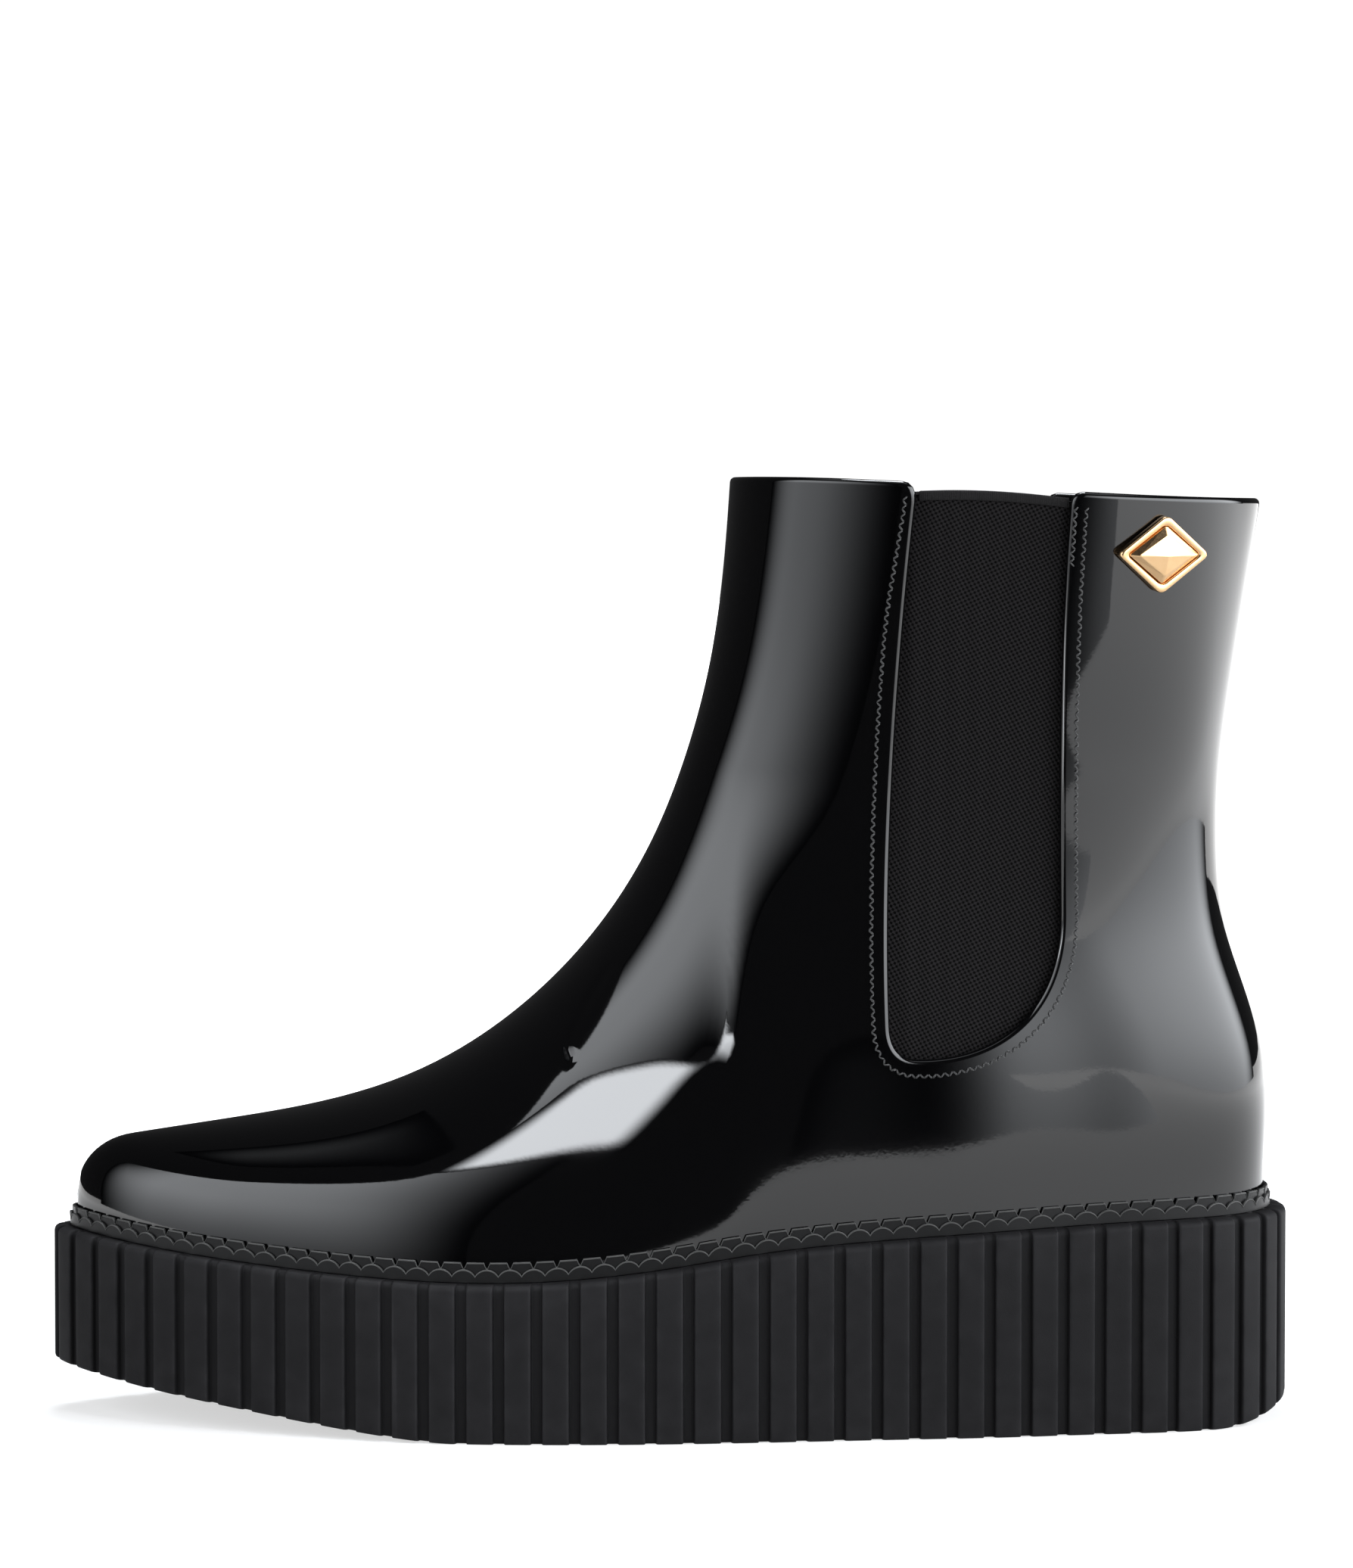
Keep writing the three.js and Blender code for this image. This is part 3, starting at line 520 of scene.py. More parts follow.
class Walk:
    """Walks round the foot outline at one offset, by distance."""

    def __init__(self, offset):
        self.turns = np.linspace(0, 1, WALK_POINTS)
        points = outline(self.turns, np.full(WALK_POINTS, float(offset)))
        steps = np.linalg.norm(np.diff(points, axis=0), axis=1)
        self.lengths = np.concatenate([[0], np.cumsum(steps)])
        self.length = self.lengths[-1]

    def place(self, distance, offset):
        """Plan points at distances round the outline and any offset from it."""
        turn = np.interp(np.mod(distance, self.length), self.lengths, self.turns)
        return outline(turn, np.broadcast_to(offset, turn.shape))


def lofted(rows, closed=True):
    """Points and quads of rows of points, each row joined to the next one."""
    faces = []
    n = len(rows[0])
    for start in range(0, (len(rows) - 1) * n, n):
        faces += strip(range(start, start + n), range(start + n, start + 2 * n), closed)
    return np.concatenate(rows), faces


# ---------- sole ----------
RIB_HALF = [
    (0, 0), (1.5, 0), (2.35, 0), (2.6, 0.04), (2.78, 0.14), (2.9, 0.34), (2.97, 0.7), (3.04, 1.15),
    (3.14, 1.4), (3.32, RIB_DEPTH), (3.8, RIB_DEPTH),
]  # distance from the middle of a rib and depth below its crest
RIB_DRAWN_PITCH = 8.45  # pitch that this half rib is drawn for
SOLE_SECTION = [
    (1.2, 0, 0), (0.5, 0.1, 0), (0.15, 0.35, 0), (0, 0.9, 0), (0, 12, 0), (0, -14, 1), (0, -1.7, 1),
    (0.1, -1.15, 1), (0.35, -0.7, 1), (0.85, -0.35, 1), (1.6, -0.12, 1), (2.5, -0.02, 1),
]  # inset, height, and whether the height counts from the top
SOLE_TOP_RING = 1.4  # offset of the last ring of the top before the hollow
UNDER_RIM, TREAD_RIM = 4.0, 9.0  # insets of the flat border under the sole, and of the tread within it
STEEP = 0.1  # run of a wall that is almost upright
POCKET_RANGES = [(-118, -4), (4, 122)]
TREAD_STARTS = [x for x in range(-106, 125, 9) if abs(x - 18) >= 24]
TREAD_WIDTH, TREAD_DEPTH = 3.0, 1.6


def tread_at(x):
    """Depth of the tread grooves over x."""
    return sum(TREAD_DEPTH * ((x > start) & (x < start + TREAD_WIDTH)) for start in TREAD_STARTS)


def pocket_floor_at(x):
    """Height of the sole's inner floor over x: low in the pockets, flush with the top elsewhere."""
    inside = sum((x > low) & (x < high) for low, high in POCKET_RANGES)
    return np.where(inside > 0, sole_bottom_at(x) + SOLE_FLOOR, sole_top_at(x))


def across(row, flip):
    """Quads that close a row by joining each point to the one opposite."""
    n = len(row)
    quads = [(row[i], row[i + 1], row[(n - i - 1) % n], row[(n - i) % n]) for i in range(n // 2)]
    return [quad[::-1] for quad in quads] if flip else quads


def rib_profile(walk):
    """Distances round the sole, and depths below the crests, of all its ribs."""
    pitch = walk.length / RIB_COUNT
    half = [(s * pitch / RIB_DRAWN_PITCH, depth) for s, depth in RIB_HALF]
    profile = half + [(pitch - s, depth) for s, depth in reversed(half)][:-1]
    crests = (np.arange(RIB_COUNT) + FIRST_CREST) * pitch
    distance = np.concatenate([[s + crest for s, _ in profile] for crest in crests])
    return distance, np.tile([depth for _, depth in profile], RIB_COUNT)


def platform_sole(material):
    """The sole, lofted from the tread over the border and the ribbed wall into its hollow."""
    walk = Walk(SOLE_EDGE)
    distance, depth = rib_profile(walk)
    rows = []

    def row(offset, height_at, lift=0.0):
        plan = walk.place(distance, offset)
        rows.append(np.column_stack([plan, height_at(plan[:, 0]) + lift]))

    row(SOLE_EDGE - TREAD_RIM - STEEP, lambda x: sole_bottom_at(x) + tread_at(x))
    row(SOLE_EDGE - TREAD_RIM, sole_bottom_at)
    row(SOLE_EDGE - UNDER_RIM, sole_bottom_at)
    for inset, height, from_top in SOLE_SECTION:
        row(SOLE_EDGE - depth - inset, sole_top_at if from_top else sole_bottom_at, height)
    row(SOLE_TOP_RING, sole_top_at)
    row(SOLE_EDGE - SOLE_WALL, sole_top_at)
    row(SOLE_EDGE - SOLE_WALL - STEEP, pocket_floor_at)
    points, faces = lofted(rows)
    n, total = len(distance), len(points)
    faces += across(range(n), flip=True) + across(range(total - n, total), flip=False)
    make("ribbed_platform", points, faces, material, ["platform_sole"])


# ---------- welt ----------
WELT_PITCH = 5.25
SCALLOP_OUT, TILE_OUT = 1.62, 1.0  # how far the two tiers stand out from the foot outline
SCALLOP_RADIUS, SCALLOP_LOW = 3.05, 0.15
NOTCH_HALF, NOTCH_LOW = 0.72, 3.35  # notches between the tiles: half their width, and their lowest point
BEAD = 0.13  # raised border along the edge of each tier


def scallop_edge(s):
    """Height of the lower tier over the distance from a crest."""
    return SCALLOP_LOW + np.sqrt(SCALLOP_RADIUS**2 - s**2)


def tile_edge(s):
    """Height of the upper tier over the distance from a notch."""
    return np.interp(np.abs(s), [0.1, NOTCH_HALF], [NOTCH_LOW, WELT_HEIGHT])


def welt_tier(name, edge_at, spots, out, behind, material):
    """One tier of the welt: a band round the boot whose top edge repeats once per pitch."""
    walk = Walk(TILE_OUT)
    count = round(walk.length / WELT_PITCH)
    pitch = walk.length / count
    spots = np.array(spots) * pitch
    s = np.concatenate([spots + k * pitch for k in range(count)])
    edge = np.tile(edge_at(spots), count)
    section = [
        (0.05, 0.3, 0), (0.05, out - 0.2, 0), (0.2, out, 0), (edge - 0.42, out, 0),
        (edge - 0.34, out + 0.8 * BEAD, 1), (edge - 0.2, out + BEAD, 1), (edge - 0.12, out + 0.8 * BEAD, 1),
        (edge, out - 0.4 * BEAD, 1), (edge - 0.02, behind, 0),
    ]  # height, how far out, and whether it gets the painted highlight
    rings = []
    for height, offset, _ in section:
        plan = walk.place(s, offset)
        rings.append(np.column_stack([plan, sole_top_at(plan[:, 0]) + height]))
    points, faces = lofted(rings)
    n, total = len(s), len(points)
    faces += strip(range(total - n, total), range(n), closed=True)
    piece = make(name, points, faces, material, ["welt_strip"], smooth_faces=False)
    # painted highlight: the rows of the bead are flagged for a brighter base colour in the material
    painted_highlight = np.repeat([float(highlighted) for _, _, highlighted in section], n)
    piece.data.attributes.new("painted_highlight", "FLOAT", "POINT").data.foreach_set("value", painted_highlight)


def welt(material):
    arc = np.linspace(-0.5, 0.5, 15)[:-1]
    welt_tier("welt_scallops", scallop_edge, arc, SCALLOP_OUT, TILE_OUT - 0.1, material)
    notch = [-0.5, -0.3, -0.16, -0.137, -0.11, -0.02, 0.02, 0.11, 0.137, 0.16, 0.3]
    welt_tier("welt_tiles", tile_edge, notch, TILE_OUT, 0.3, material)


# ---------- footbed ----------
FOOTBED_LOW = 6.6  # above the top of the sole
FOOTBED_INSET = WALL + 1.3
FOOTBED_CORE = 35.0  # distance from the toe and the heel to the ends of its middle line
FOOTBED_POINTS = 180
HEEL_CUP = 1.6  # how far the border rises round the heel
CUP_START, CUP_LENGTH = -60, 90
FOOTBED_SECTION = [
    (0.05, 0), (0.5, 0), (0.98, 0), (1, 0.3), (1, 0.6), (0.99, 0.85), (0.97, 1), (0.945, 0.95),
    (0.93, 0.55), (0.915, 0.95), (0.88, 1.15), (0.7, 1.3), (0.45, 1.35), (0.05, 1.35),
]  # share of the way from the middle line to the border, and height above the underside


def padded_footbed(material):
    """Soft insole with a rounded border, a sewn channel along it and a shallow heel cup."""
    turn = np.linspace(0, 1, FOOTBED_POINTS + 1)[:-1]
    edge = outline(turn, np.full(FOOTBED_POINTS, -FOOTBED_INSET))
    x = np.clip(edge[:, 0], TOE_X + FOOTBED_CORE, HEEL_X - FOOTBED_CORE)
    core = np.stack([x, middle_at(x)], -1)
    rows = []
    for share, height in FOOTBED_SECTION:
        plan = core + (edge - core) * share
        cup = HEEL_CUP * share**4 * ease((plan[:, 0] - CUP_START) / CUP_LENGTH) * (height > 0)
        rows.append(np.column_stack([plan, sole_top_at(plan[:, 0]) + FOOTBED_LOW + height + cup]))
    points, faces = lofted(rows)
    n, total = FOOTBED_POINTS, len(points)
    faces += across(range(n), flip=True) + across(range(total - n, total), flip=False)
    piece = make("cushioned_footbed", points, faces, material, ["footbed_cover"])


# ---------- gussets ----------
EDGE_SPACING, GRID_SPACING, GRID_CLEARANCE = 1.5, 1.2, 0.7
GRID_X, GRID_Z = (40, 100), (76, 214)  # reach past the gusset on every side
GUSSET_TOP_POINTS = 40
TAPE_OVERLAP = 0.7  # the cloth ends this far below the top of its tape
CORD_DEPTH, CORD_TURN = 0.12, 1.3  # upright cords in the cloth; turns are in radians per mm
CORD_SWAY, CORD_SWAY_TURN = 0.6, 0.07


def gusset(side_name, material):
    side = SIDES[side_name]
    edge = shift(resample(OPENING, EDGE_SPACING), GUSSET_MARGIN)
    edge = edge[edge[:, 1] < gusset_top_at(edge[:, 0]) - TAPE_OVERLAP]
    top_x = np.linspace(edge[-1, 0], edge[0, 0], GUSSET_TOP_POINTS)
    boundary = np.concatenate([edge, np.stack([top_x, gusset_top_at(top_x) - TAPE_OVERLAP], -1)])
    grid = np.meshgrid(np.arange(*GRID_X, GRID_SPACING), np.arange(*GRID_Z, GRID_SPACING))
    places, faces = fill(boundary, np.stack(grid, -1).reshape(-1, 2), GRID_CLEARANCE)
    points, outward = surface(*places.T, side)
    sway = CORD_SWAY * np.sin(places[:, 1] * CORD_SWAY_TURN)
    wave = CORD_DEPTH * (np.sin(places[:, 0] * CORD_TURN + sway) - 1)
    front = points + outward * (wave - WALL - GUSSET_GAP)[:, None]
    back = points - outward * (WALL + GUSSET_GAP + GUSSET_THICK)
    n, rim = len(places), len(boundary)
    if looks_inwards(front, faces[0], outward):
        faces = [face[::-1] for face in faces]
    faces = faces + [tuple(n + i for i in reversed(face)) for face in faces]
    faces += strip(range(rim), range(n, n + rim), closed=True)
    every = np.concatenate([front, back])
    make(f"elastic_{side_name}", every, faces, material, [f"gusset_{side_name}"])


TAPE_RIB, TAPE_RIPPLE = 0.42, 0.05
TAPE_SPAN = (55.55, 89.5)
TAPE_TOP = -0.1  # drops above this lie on the rippled top of the fold
TAPE_SECTION = [
    (0, 0), (0.28, -0.05), (0.5, -0.25), (0.6, -0.6), (0.62, -1.2), (0.6, -1.8), (0.45, -2.05),
]  # width beyond the flat middle of the fold, and drop


def binding(side_name, material):
    """Narrow ribbed tape folded over the top edge of a gusset."""
    side = SIDES[side_name]
    x = np.arange(*TAPE_SPAN, TAPE_RIB / 6)
    ripple = TAPE_RIPPLE * np.cos(2 * np.pi * x / TAPE_RIB)
    middle_depth = WALL + GUSSET_GAP + GUSSET_THICK / 2 - 0.1
    half = GUSSET_THICK / 2 - 0.25
    section = [(half + d, z) for d, z in reversed(TAPE_SECTION)] + [(-half - d, z) for d, z in TAPE_SECTION]
    rows = []
    for depth, drop in section:
        z = gusset_top_at(x) + drop + (ripple if drop > TAPE_TOP else 0)
        points, outward = surface(x, z, side)
        swell = np.sign(depth) * ripple
        rows.append(points + outward * (depth + swell - middle_depth)[:, None])
    points, faces = lofted(rows, closed=False)
    n, count = len(x), len(rows)
    faces += strip(range((count - 1) * n, count * n), range(n))
    faces.append(tuple(k * n for k in range(count)))
    faces.append(tuple(k * n + n - 1 for k in reversed(range(count))))
    if side < 0:
        faces = [face[::-1] for face in faces]
    replaced = [f"gusset_binding_{side_name}"]
    make(f"elastic_tape_{side_name}", points, faces, material, replaced)


# ---------- seams ----------
STITCH_PITCH = 1.9
STITCH_SWING = 0.95
THREAD_RADIUS = 0.2
STITCH_RINGS, THREAD_SIDES, THREAD_TWIST = 7, 6, 2.5
SEAM_TOP_GAP = 3.0  # the stitching ends this far below the top edge
SHORT_LINE_GAP, SHORT_LINE_POINTS = 2.4, 15  # second line, at the top of the back
LONGEST_STITCH = 2.0


def seam_line():
    """Stitching line of a side seam. At the top of the front it runs closer to the opening."""
    line = resample(OPENING, 0.5)
    line = line[line[:, 1] < top_edge_at(line[:, 0]) - SEAM_TOP_GAP]
    share = np.linspace(0, 1, len(line))
    wider = 0.4 * ease(share * 8) * ease((0.6 - share) * 5)
    closer = 1.2 * (1 - ease(share * 9))
    return shift(line, SEAM_OFFSET + wider - closer)


def stitch(start, end, outward, rng):
    """One stitch: a short thread that dips into its holes at both ends."""
    axis = end - start
    length = np.linalg.norm(axis)
    axis = axis / length
    across_axis = np.cross(outward, axis)
    radius = THREAD_RADIUS * rng.uniform(0.85, 1.15)
    points = []
    for t in np.linspace(0, 1, STITCH_RINGS):
        lift = radius * (2.6 * math.sin(math.pi * t) - 1.0)
        size = radius * (0.75 + 0.25 * math.sin(math.pi * t))
        centre = start + axis * length * t + outward * lift
        for k in range(THREAD_SIDES):
            angle = 2 * math.pi * k / THREAD_SIDES + t * THREAD_TWIST
            points.append(centre + size * (math.cos(angle) * outward + math.sin(angle) * across_axis))
    return points


def stitch_places(rng):
    """Side-view places of the needle holes, in the order that the thread takes them."""
    even = resample(seam_line(), STITCH_PITCH / 2)
    swing = STITCH_SWING * np.where(np.arange(len(even)) % 2, 1, -1) / 2
    swing = swing + rng.normal(0, 0.06, len(even))
    short_line = shift(even, swing - SHORT_LINE_GAP)[-SHORT_LINE_POINTS:]
    return np.concatenate([shift(even, swing), short_line[::-1]])


def seam(side_name, material):
    rng = np.random.default_rng(7)
    points, outward = surface(*stitch_places(rng).T, SIDES[side_name])
    every, faces = [], []
    for start, end, out in zip(points, points[1:], outward):
        if np.linalg.norm(end - start) > LONGEST_STITCH:
            continue
        base, last = len(every), len(every) + (STITCH_RINGS - 1) * THREAD_SIDES
        every += stitch(start, end, out, rng)
        for ring in range(base, last, THREAD_SIDES):
            middle = ring + THREAD_SIDES
            faces += strip(range(ring, middle), range(middle, middle + THREAD_SIDES), closed=True)
        faces.append(tuple(base + k for k in reversed(range(THREAD_SIDES))))
        faces.append(tuple(last + k for k in range(THREAD_SIDES)))
    make(f"zigzag_seam_{side_name}", every, faces, material, [f"seam_thread_{side_name}"])


# ---------- badge ----------
BADGE_HALF = (11.5, 9.0)
TRAY_LOW, TRAY_HIGH, TRAY_FLOOR = 0.3, 2.3, 1.1
RIM_INSET = 1.6
FRAME_CORNER, STUD_CORNER = 0.12, 0.06  # share of each side that its softened tips take up
STUD_GAP, STUD_HEIGHT = 0.2, 3.0


def badge_matrix():
    """Columns are the badge's right, up and outward directions, and its place on the shaft."""
    point, outward = surface(BADGE_X, BADGE_Z, SIDES["lateral"])
    right = np.cross((0, 0, 1), outward)
    right /= np.linalg.norm(right)
    return np.column_stack([right, np.cross(outward, right), outward]), point


def lozenge(inset, corner, height, steps=10):
    """Ring of points round a lozenge with softened tips."""
    w, h = BADGE_HALF[0] - inset * 1.4, BADGE_HALF[1] - inset * 1.3
    tips = np.array([(w, 0), (0, h), (-w, 0), (0, -h)], float)
    sides = []
    for i in range(4):
        start = tips[i] + (tips[i - 1] - tips[i]) * corner
        end = tips[i] + (tips[(i + 1) % 4] - tips[i]) * corner
        sides.append(bezier(start, tips[i], end, steps=steps))
    ring = np.concatenate(sides)
    return np.column_stack([ring, np.full(len(ring), height)])


def badge_frame(material):
    turn, place = badge_matrix()
    section = [
        (0, TRAY_LOW), (-0.12, TRAY_LOW + 0.25), (-0.12, TRAY_HIGH - 0.4), (0.02, TRAY_HIGH - 0.12),
        (0.25, TRAY_HIGH), (0.6, TRAY_HIGH + 0.06), (RIM_INSET - 0.5, TRAY_HIGH),
        (RIM_INSET - 0.2, TRAY_HIGH - 0.15), (RIM_INSET, TRAY_HIGH - 0.5), (RIM_INSET + 0.05, TRAY_FLOOR),
    ]
    rows = [lozenge(inset, FRAME_CORNER, height) for inset, height in section]
    points, faces = lofted(rows)
    n, total = len(rows[0]), len(points)
    faces += [tuple(reversed(range(n))), tuple(range(total - n, total))]
    make("badge_bezel", points @ turn.T + place, faces, material, ["badge_frame"])


def badge_stud(material):
    turn, place = badge_matrix()
    low = TRAY_FLOOR + 0.05
    section = [(0.02, low), (0.02, low + 0.75), (0.1, low + 0.95), (1.5, low + 2.0), (1.7, low + 2.08)]
    rows = [lozenge(RIM_INSET + STUD_GAP + inset, STUD_CORNER, height) for inset, height in section]
    points, faces = lofted(rows)
    n, total = len(rows[0]), len(points)
    faces += [(total - n + i, total - n + (i + 1) % n, total) for i in range(n)]
    faces.append(tuple(reversed(range(n))))
    points = np.concatenate([points, [(0, 0, low + STUD_HEIGHT)]]) @ turn.T + place
    make("faceted_stud", points, faces, material, ["badge_stud"], smooth_faces=False)


# ---------- materials ----------
class Tree:
    """Short way to lay out shader nodes."""

    place = None

    def __init__(self, owner):
        self.tree = owner.node_tree

    def add(self, kind, **values):
        node = self.tree.nodes.new(kind)
        for key, value in values.items():
            setattr(node, key, value)
        return node

    def link(self, output, socket):
        self.tree.links.new(output, socket)
        return socket.node

    def set(self, node, **values):
        for key, value in values.items():
            node.inputs[key].default_value = value

    def noise(self, scale, detail=3.0, roughness=0.5, vector=None):
        node = self.add("ShaderNodeTexNoise")
        self.set(node, Scale=scale, Detail=detail, Roughness=roughness)
        self.link(vector or self.place, node.inputs["Vector"])
        return node.outputs["Fac"]

    def math(self, operation, a, b=0.0):
        node = self.add("ShaderNodeMath", operation=operation)
        for socket, value in zip(node.inputs, (a, b)):
            if isinstance(value, (int, float)):
                socket.default_value = value
            else:
                self.link(value, socket)
        return node.outputs[0]

    def ramp(self, value, low, high, from_value=0.0, to_value=1.0):
        """A result that runs from low to high while the value runs between two limits."""
        node = self.add("ShaderNodeMapRange")
        self.set(node, **{"From Min": from_value, "From Max": to_value, "To Min": low, "To Max": high})
        self.link(value, node.inputs["Value"])
        return node.outputs[0]

    def smooth_ramp(self, value, start, end):
        """Share that eases from 0 to 1 between two values."""
        output = self.ramp(value, 0, 1, start, end)
        output.node.interpolation_type = "SMOOTHSTEP"
        return output


class Nodes(Tree):
    """A procedural material round one Principled shader."""

    def __init__(self, name, color, roughness, metallic=0.0, ior=1.5, specular=0.5):
        self.material = bpy.data.materials.new(name)
        self.material.use_nodes = True
        super().__init__(self.material)
        self.shader = self.tree.nodes["Principled BSDF"]
        self.set(self.shader, Roughness=roughness, Metallic=metallic, IOR=ior)
        self.set(self.shader, **{"Base Color": (*color, 1), "Specular IOR Level": specular})
        self.place = self.add("ShaderNodeTexCoord").outputs["Object"]

    def colors(self, value, *pair):
        """Base colour between two colours, by a value from 0 to 1."""
        node = self.add("ShaderNodeMix", data_type="RGBA")
        self.link(value, node.inputs["Factor"])
        sockets = [socket for socket in node.inputs if socket.type == "RGBA"]
        for socket, color in zip(sockets, pair):
            socket.default_value = (*color, 1)
        mixed = next(output for output in node.outputs if output.type == "RGBA")
        self.link(mixed, self.shader.inputs["Base Color"])

    def rough(self, value, low, high):
        self.link(self.ramp(value, low, high), self.shader.inputs["Roughness"])

    def bump(self, height, distance, strength=1.0, below=None):
        node = self.add("ShaderNodeBump")
        self.set(node, Strength=strength, Distance=distance)
        self.link(height, node.inputs["Height"])
        if below is not None:
            self.link(below, node.inputs["Normal"])
        self.link(node.outputs["Normal"], self.shader.inputs["Normal"])
        return node.outputs["Normal"]


def glossy_pvc():
    m = Nodes("glossy_pvc", (0.0008, 0.0008, 0.0009), 0.05, ior=1.52)
    flow = m.noise(9, 2)
    m.rough(m.noise(60, 4), 0.02, 0.05)
    m.colors(flow, (0.0006, 0.0006, 0.0007), (0.0012, 0.0012, 0.0014))
    m.bump(flow, 0.0006, 0.25, m.bump(m.noise(900, 2), 0.00001, 0.15))
    return m.material


def welt_pvc():
    """Satin PVC with a painted highlight on its raised borders: a brighter base colour there."""
    m = Nodes("welt_pvc", (0.004, 0.004, 0.0042), 0.3, specular=0.2)
    painted_highlight = m.add("ShaderNodeAttribute", attribute_name="painted_highlight").outputs["Fac"]
    # painted highlight: the flagged raised borders get a brighter base colour, broken up by noise
    highlighted = m.math("MULTIPLY", painted_highlight, m.ramp(m.noise(250, 3), 0.5, 1))
    m.colors(highlighted, (0.003, 0.003, 0.0032), (0.07, 0.07, 0.068))
    m.rough(m.noise(300, 4), 0.25, 0.4)
    m.bump(m.noise(1500, 3), 0.00004, 0.3)
    return m.material


def matt_rubber():
    m = Nodes("matt_rubber", (0.008, 0.008, 0.0083), 0.6, ior=1.47, specular=0.09)
    grain = m.noise(2600, 3, 0.6)
    m.rough(m.noise(90, 4), 0.5, 0.68)
    # painted highlight: convex edges and rib crests get a lighter base colour, in patches
    edge = m.add("ShaderNodeNewGeometry").outputs["Pointiness"]
    edge_highlight = m.ramp(edge, 0, 1, 0.49, 0.56)
    patchy_edge_highlight = m.math("MULTIPLY", edge_highlight, m.ramp(m.noise(200, 4), 0.3, 1, 0.3, 0.7))
    m.colors(patchy_edge_highlight, (0.0075, 0.0073, 0.0078), (0.0205, 0.02, 0.0212))
    m.bump(grain, 0.00006, 0.5)
    return m.material


LOOP_PITCH, LOOP_HEIGHT = 0.00105, 0.9  # in metres, and as a share of the pitch


def weave(m, pitch, lean=0.5):
    """Rows of small staggered loops over the side view, as a height from 0 in the holes to 1."""
    parts = m.add("ShaderNodeSeparateXYZ")
    m.link(m.place, parts.inputs[0])
    across_cloth = m.math("MULTIPLY", parts.outputs["X"], 2 * math.pi / pitch)
    up = m.math("MULTIPLY", parts.outputs["Z"], 2 * math.pi / (pitch * LOOP_HEIGHT))
    first = m.math("SINE", m.math("ADD", across_cloth, m.math("MULTIPLY", up, lean)))
    second = m.math("SINE", m.math("SUBTRACT", up, m.math("MULTIPLY", across_cloth, lean)))
    return m.ramp(m.math("ADD", first, second), 0, 1, -1.4, 0.6)


def elastic_cloth():
    m = Nodes("elastic_cloth", (0.012, 0.012, 0.012), 0.8, ior=1.45, specular=0.08)
    loops = weave(m, LOOP_PITCH)
    fuzz = m.noise(3500, 3)
    lit = m.math("MULTIPLY", loops, m.ramp(fuzz, 0.7, 1))
    m.colors(lit, (0.0004, 0.0004, 0.0004), (0.012, 0.011, 0.0115))
    m.rough(loops, 0.95, 0.7)
    m.bump(loops, 0.0003, 0.8, m.bump(fuzz, 0.00005, 0.4))
    return m.material


def elastic_tape():
    m = Nodes("elastic_tape", (0.02, 0.019, 0.019), 0.75, ior=1.45, specular=0.1)
    m.colors(m.noise(2500, 3), (0.005, 0.005, 0.005), (0.016, 0.015, 0.0155))
    m.bump(m.noise(4000, 2), 0.00005, 0.4)
    return m.material


def thread_fibre():
    m = Nodes("thread_fibre", (0.014, 0.014, 0.014), 0.55)
    m.set(m.shader, **{"Sheen Weight": 0.3, "Sheen Roughness": 0.4})
    m.colors(m.noise(2500, 3), (0.008, 0.008, 0.008), (0.034, 0.034, 0.034))
    m.bump(m.noise(5000, 2), 0.00006, 0.6)
    return m.material


def gold_plate():
    m = Nodes("gold_plate", (0.86, 0.6, 0.3), 0.16, metallic=1.0)
    m.colors(m.noise(400, 3), (0.6, 0.38, 0.19), (0.7, 0.47, 0.26))
    m.rough(m.noise(900, 4), 0.14, 0.3)
    m.bump(m.noise(700, 3), 0.00002, 0.3)
    return m.material


def plain_steel():
    m = Nodes("plain_steel", (0.55, 0.55, 0.56), 0.35, metallic=1.0)
    m.rough(m.noise(1200, 4), 0.28, 0.5)
    m.bump(m.noise(2500, 3), 0.00003, 0.4)
    return m.material


def soft_foam():
    m = Nodes("soft_foam", (0.09, 0.09, 0.09), 0.9)
    cells = m.add("ShaderNodeTexVoronoi")
    m.set(cells, Scale=900)
    m.link(m.place, cells.inputs["Vector"])
    m.colors(cells.outputs["Distance"], (0.05, 0.05, 0.05), (0.12, 0.12, 0.12))
    m.bump(cells.outputs["Distance"], 0.0004, 0.8)
    return m.material


def fibre_board():
    m = Nodes("fibre_board", (0.26, 0.2, 0.13), 0.85)
    stretched = m.add("ShaderNodeMapping")
    stretched.inputs["Scale"].default_value = (200, 1400, 1400)
    m.link(m.place, stretched.inputs["Vector"])
    fibres = m.noise(1, 4, 0.6, stretched.outputs["Vector"])
    m.colors(fibres, (0.2, 0.15, 0.09), (0.33, 0.26, 0.18))
    m.bump(fibres, 0.0001, 0.5)
    return m.material


def sock_cloth():
    m = Nodes("sock_cloth", (0.02, 0.02, 0.021), 0.9)
    m.set(m.shader, **{"Sheen Weight": 0.3, "Sheen Roughness": 0.6})
    knit = m.noise(1800, 3)
    m.colors(knit, (0.012, 0.012, 0.012), (0.035, 0.035, 0.036))
    m.bump(knit, 0.0002, 0.6)
    return m.material


# ---------- stage ----------
# places and sizes of the stage are in metres
WHITE = (1, 1, 1, 1)
STUDIO_TINT = (0.93, 0.96, 1.0)
BACKDROP_STRENGTH = 1.1  # just past white
DIM_STUDIO = (0.04, 0.04, 0.041)
FLOOR_GLOW, GLOW_REACH = (0.2, 2.0), (0.2, 1.1)  # strengths, and the distances from the boot for them
FLOOR_EDGE = [(-6, -0.56), (0.42, -0.56), (0.6, -1.2), (6, -1.2), (6, 12), (-6, 12)]
SEEN_GLOW = 0.4  # added where a view sees the floor directly, so that it ends in white there too
CAMERA_PLACE = (0.0016, -1.3, 0.2085)
CAMERA_PITCH = math.radians(2.774)
CAMERA_LENS, CAMERA_SENSOR = 129.36, 36.0


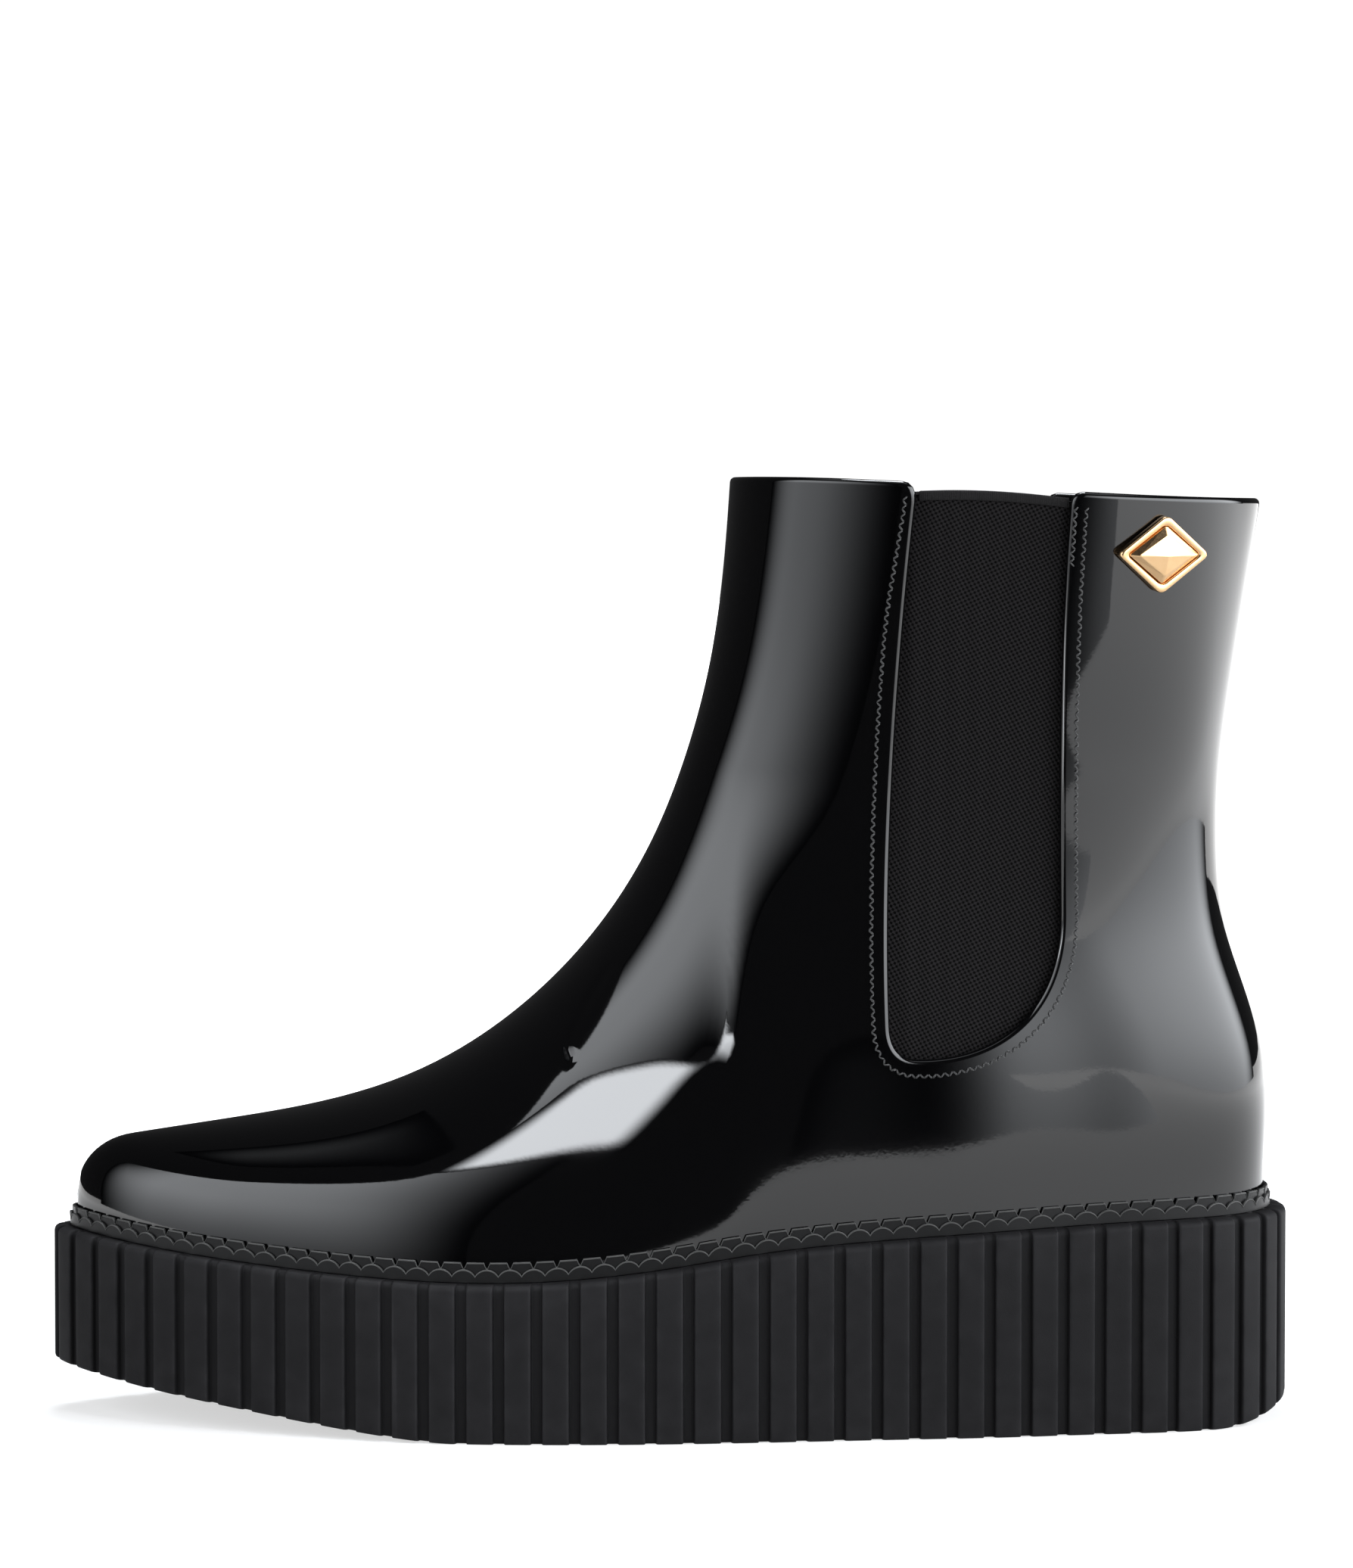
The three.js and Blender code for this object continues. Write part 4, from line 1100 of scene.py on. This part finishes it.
def camera():
    data = bpy.data.cameras.new("camera")
    data.lens, data.sensor_width = CAMERA_LENS, CAMERA_SENSOR
    data.clip_start, data.clip_end = 0.05, 50
    obj = place_in_scene("camera", data)
    obj.location = CAMERA_PLACE
    obj.rotation_euler = (math.pi / 2 - CAMERA_PITCH, 0, 0)
    bpy.context.scene.camera = obj


def world():
    """White behind the boot, and a dim studio in reflections and as light."""
    made = bpy.data.worlds.new("studio")
    bpy.context.scene.world = made
    made.use_nodes = True
    nodes, links = made.node_tree.nodes, made.node_tree.links
    seen, dim = nodes["Background"], nodes.new("ShaderNodeBackground")
    seen.inputs["Color"].default_value = WHITE
    seen.inputs["Strength"].default_value = BACKDROP_STRENGTH
    dim.inputs["Color"].default_value = (*DIM_STUDIO, 1)
    path, mix = nodes.new("ShaderNodeLightPath"), nodes.new("ShaderNodeMixShader")
    links.new(path.outputs["Is Camera Ray"], mix.inputs[0])
    links.new(dim.outputs[0], mix.inputs[1])
    links.new(seen.outputs[0], mix.inputs[2])
    links.new(mix.outputs[0], nodes["World Output"].inputs["Surface"])


def floor():
    """Pale floor. It glows more away from the boot, so that it ends in plain white."""
    mesh = bpy.data.meshes.new("floor")
    mesh.from_pydata([(x, y, 0) for x, y in FLOOR_EDGE], [], [tuple(range(len(FLOOR_EDGE)))])
    m = Nodes("pale_floor", (0.48, 0.48, 0.48), 0.9, specular=0.0)
    m.set(m.shader, **{"Emission Color": WHITE})
    distance = m.add("ShaderNodeVectorMath", operation="LENGTH")
    m.link(m.place, distance.inputs[0])
    far_off = m.ramp(distance.outputs["Value"], *FLOOR_GLOW, *GLOW_REACH)
    seen = m.math("MULTIPLY", m.add("ShaderNodeLightPath").outputs["Is Camera Ray"], SEEN_GLOW)
    m.link(m.math("ADD", far_off, seen), m.shader.inputs["Emission Strength"])
    mesh.materials.append(m.material)
    place_in_scene("floor", mesh)


def panel_glow(name, half, strength, fades):
    """Light with soft borders for a panel of these half sizes."""
    material = bpy.data.materials.new(name)
    material.use_nodes = True
    m = Tree(material)
    m.tree.nodes.clear()
    out, glow = m.add("ShaderNodeOutputMaterial"), m.add("ShaderNodeEmission")
    m.link(glow.outputs[0], out.inputs["Surface"])
    m.set(glow, Color=(*STUDIO_TINT, 1), Strength=strength)
    if not any(fades):
        return material
    parts = m.add("ShaderNodeSeparateXYZ")
    m.link(m.add("ShaderNodeTexCoord").outputs["Object"], parts.inputs[0])
    total = strength
    for axis, border, inward, fade in zip("XXYY", np.repeat(half, 2), (1, -1, 1, -1), fades):
        if fade:
            start = -inward * float(border)
            share = m.smooth_ramp(parts.outputs[axis], start, start + inward * fade)
            total = m.math("MULTIPLY", share, total)
    m.link(total, glow.inputs["Strength"])
    return material


def panel(name, azimuth, distance, height, size, strength, fades=(0, 0, 0, 0), tilt=0.0, roll=0.0):
    """Glowing rectangle that faces the boot. Azimuth 0 is the side that the photograph shows and 90 is the
    heel's, in degrees. Fades are the soft borders: left, right, bottom and top, seen from the boot."""
    a, down = math.radians(azimuth), math.radians(tilt)
    away = Vector((math.sin(a), -math.cos(a), 0))
    facing = -away * math.cos(down) - Vector((0, 0, math.sin(down)))
    w, h = size[0] / 2, size[1] / 2
    mesh = bpy.data.meshes.new(name)
    mesh.from_pydata([(-w, -h, 0), (w, -h, 0), (w, h, 0), (-w, h, 0)], [], [(0, 1, 2, 3)])
    mesh.materials.append(panel_glow(name, (w, h), strength, fades))
    obj = place_in_scene(name, mesh)
    obj.location = away * distance + Vector((0, 0, height))
    rolled = Quaternion((0, 0, 1), math.radians(roll))
    obj.rotation_euler = (facing.to_track_quat("Z", "Y") @ rolled).to_euler()
    obj.visible_camera = False


def lights():
    lamp_borders = (0.02, 0.02, 0.004, 0.004)
    panel("toe_panel", -57, 1.25, 0.46, (2.2, 1.92), 4.1, fades=(1.2, 0.7, 1.3, 0.03))
    panel("heel_panel", 69, 1.25, 0.45, (3.3, 1.9), 6.6, fades=(0.8, 0.8, 1.0, 0.4))
    panel("vamp_lamp", -24.3, 0.141, 0.129, (0.11, 0.022), 16.0, lamp_borders, tilt=26.5, roll=30)
    panel("overhead", 180, 0.62, 1.9, (0.6, 0.4), 30.0, tilt=72)
    panel("ceiling", 0, 0.0, 2.2, (2.5, 2.0), 1.0, fades=(0.6, 0.6, 0.6, 0.6), tilt=90)


# ---------- assembly ----------
scene = bpy.context.scene
scene.view_settings.view_transform = "Standard"
camera()
world()
floor()
lights()

pvc, cloth, tape, thread, gold = glossy_pvc(), elastic_cloth(), elastic_tape(), thread_fibre(), gold_plate()
upper_shell(pvc)
platform_sole(matt_rubber())
welt(welt_pvc())
for side_name in SIDES:
    gusset(side_name, cloth)
    binding(side_name, tape)
    seam(side_name, thread)
padded_footbed(sock_cloth())
badge_frame(gold)
badge_stud(gold)

CAD_FINISHES = [
    (soft_foam, ["foam_core_forefoot", "foam_core_heel", "footbed_foam"]),
    (fibre_board, ["insole_board"]),
    (plain_steel, ["badge_push_nut_front", "badge_push_nut_rear"]),
]  # pieces that keep their CAD shape
for finish, nodes in CAD_FINISHES:
    material = finish()
    for node in nodes:
        mesh = frame["nodes"][node].data
        mesh.materials.clear()
        mesh.materials.append(material)
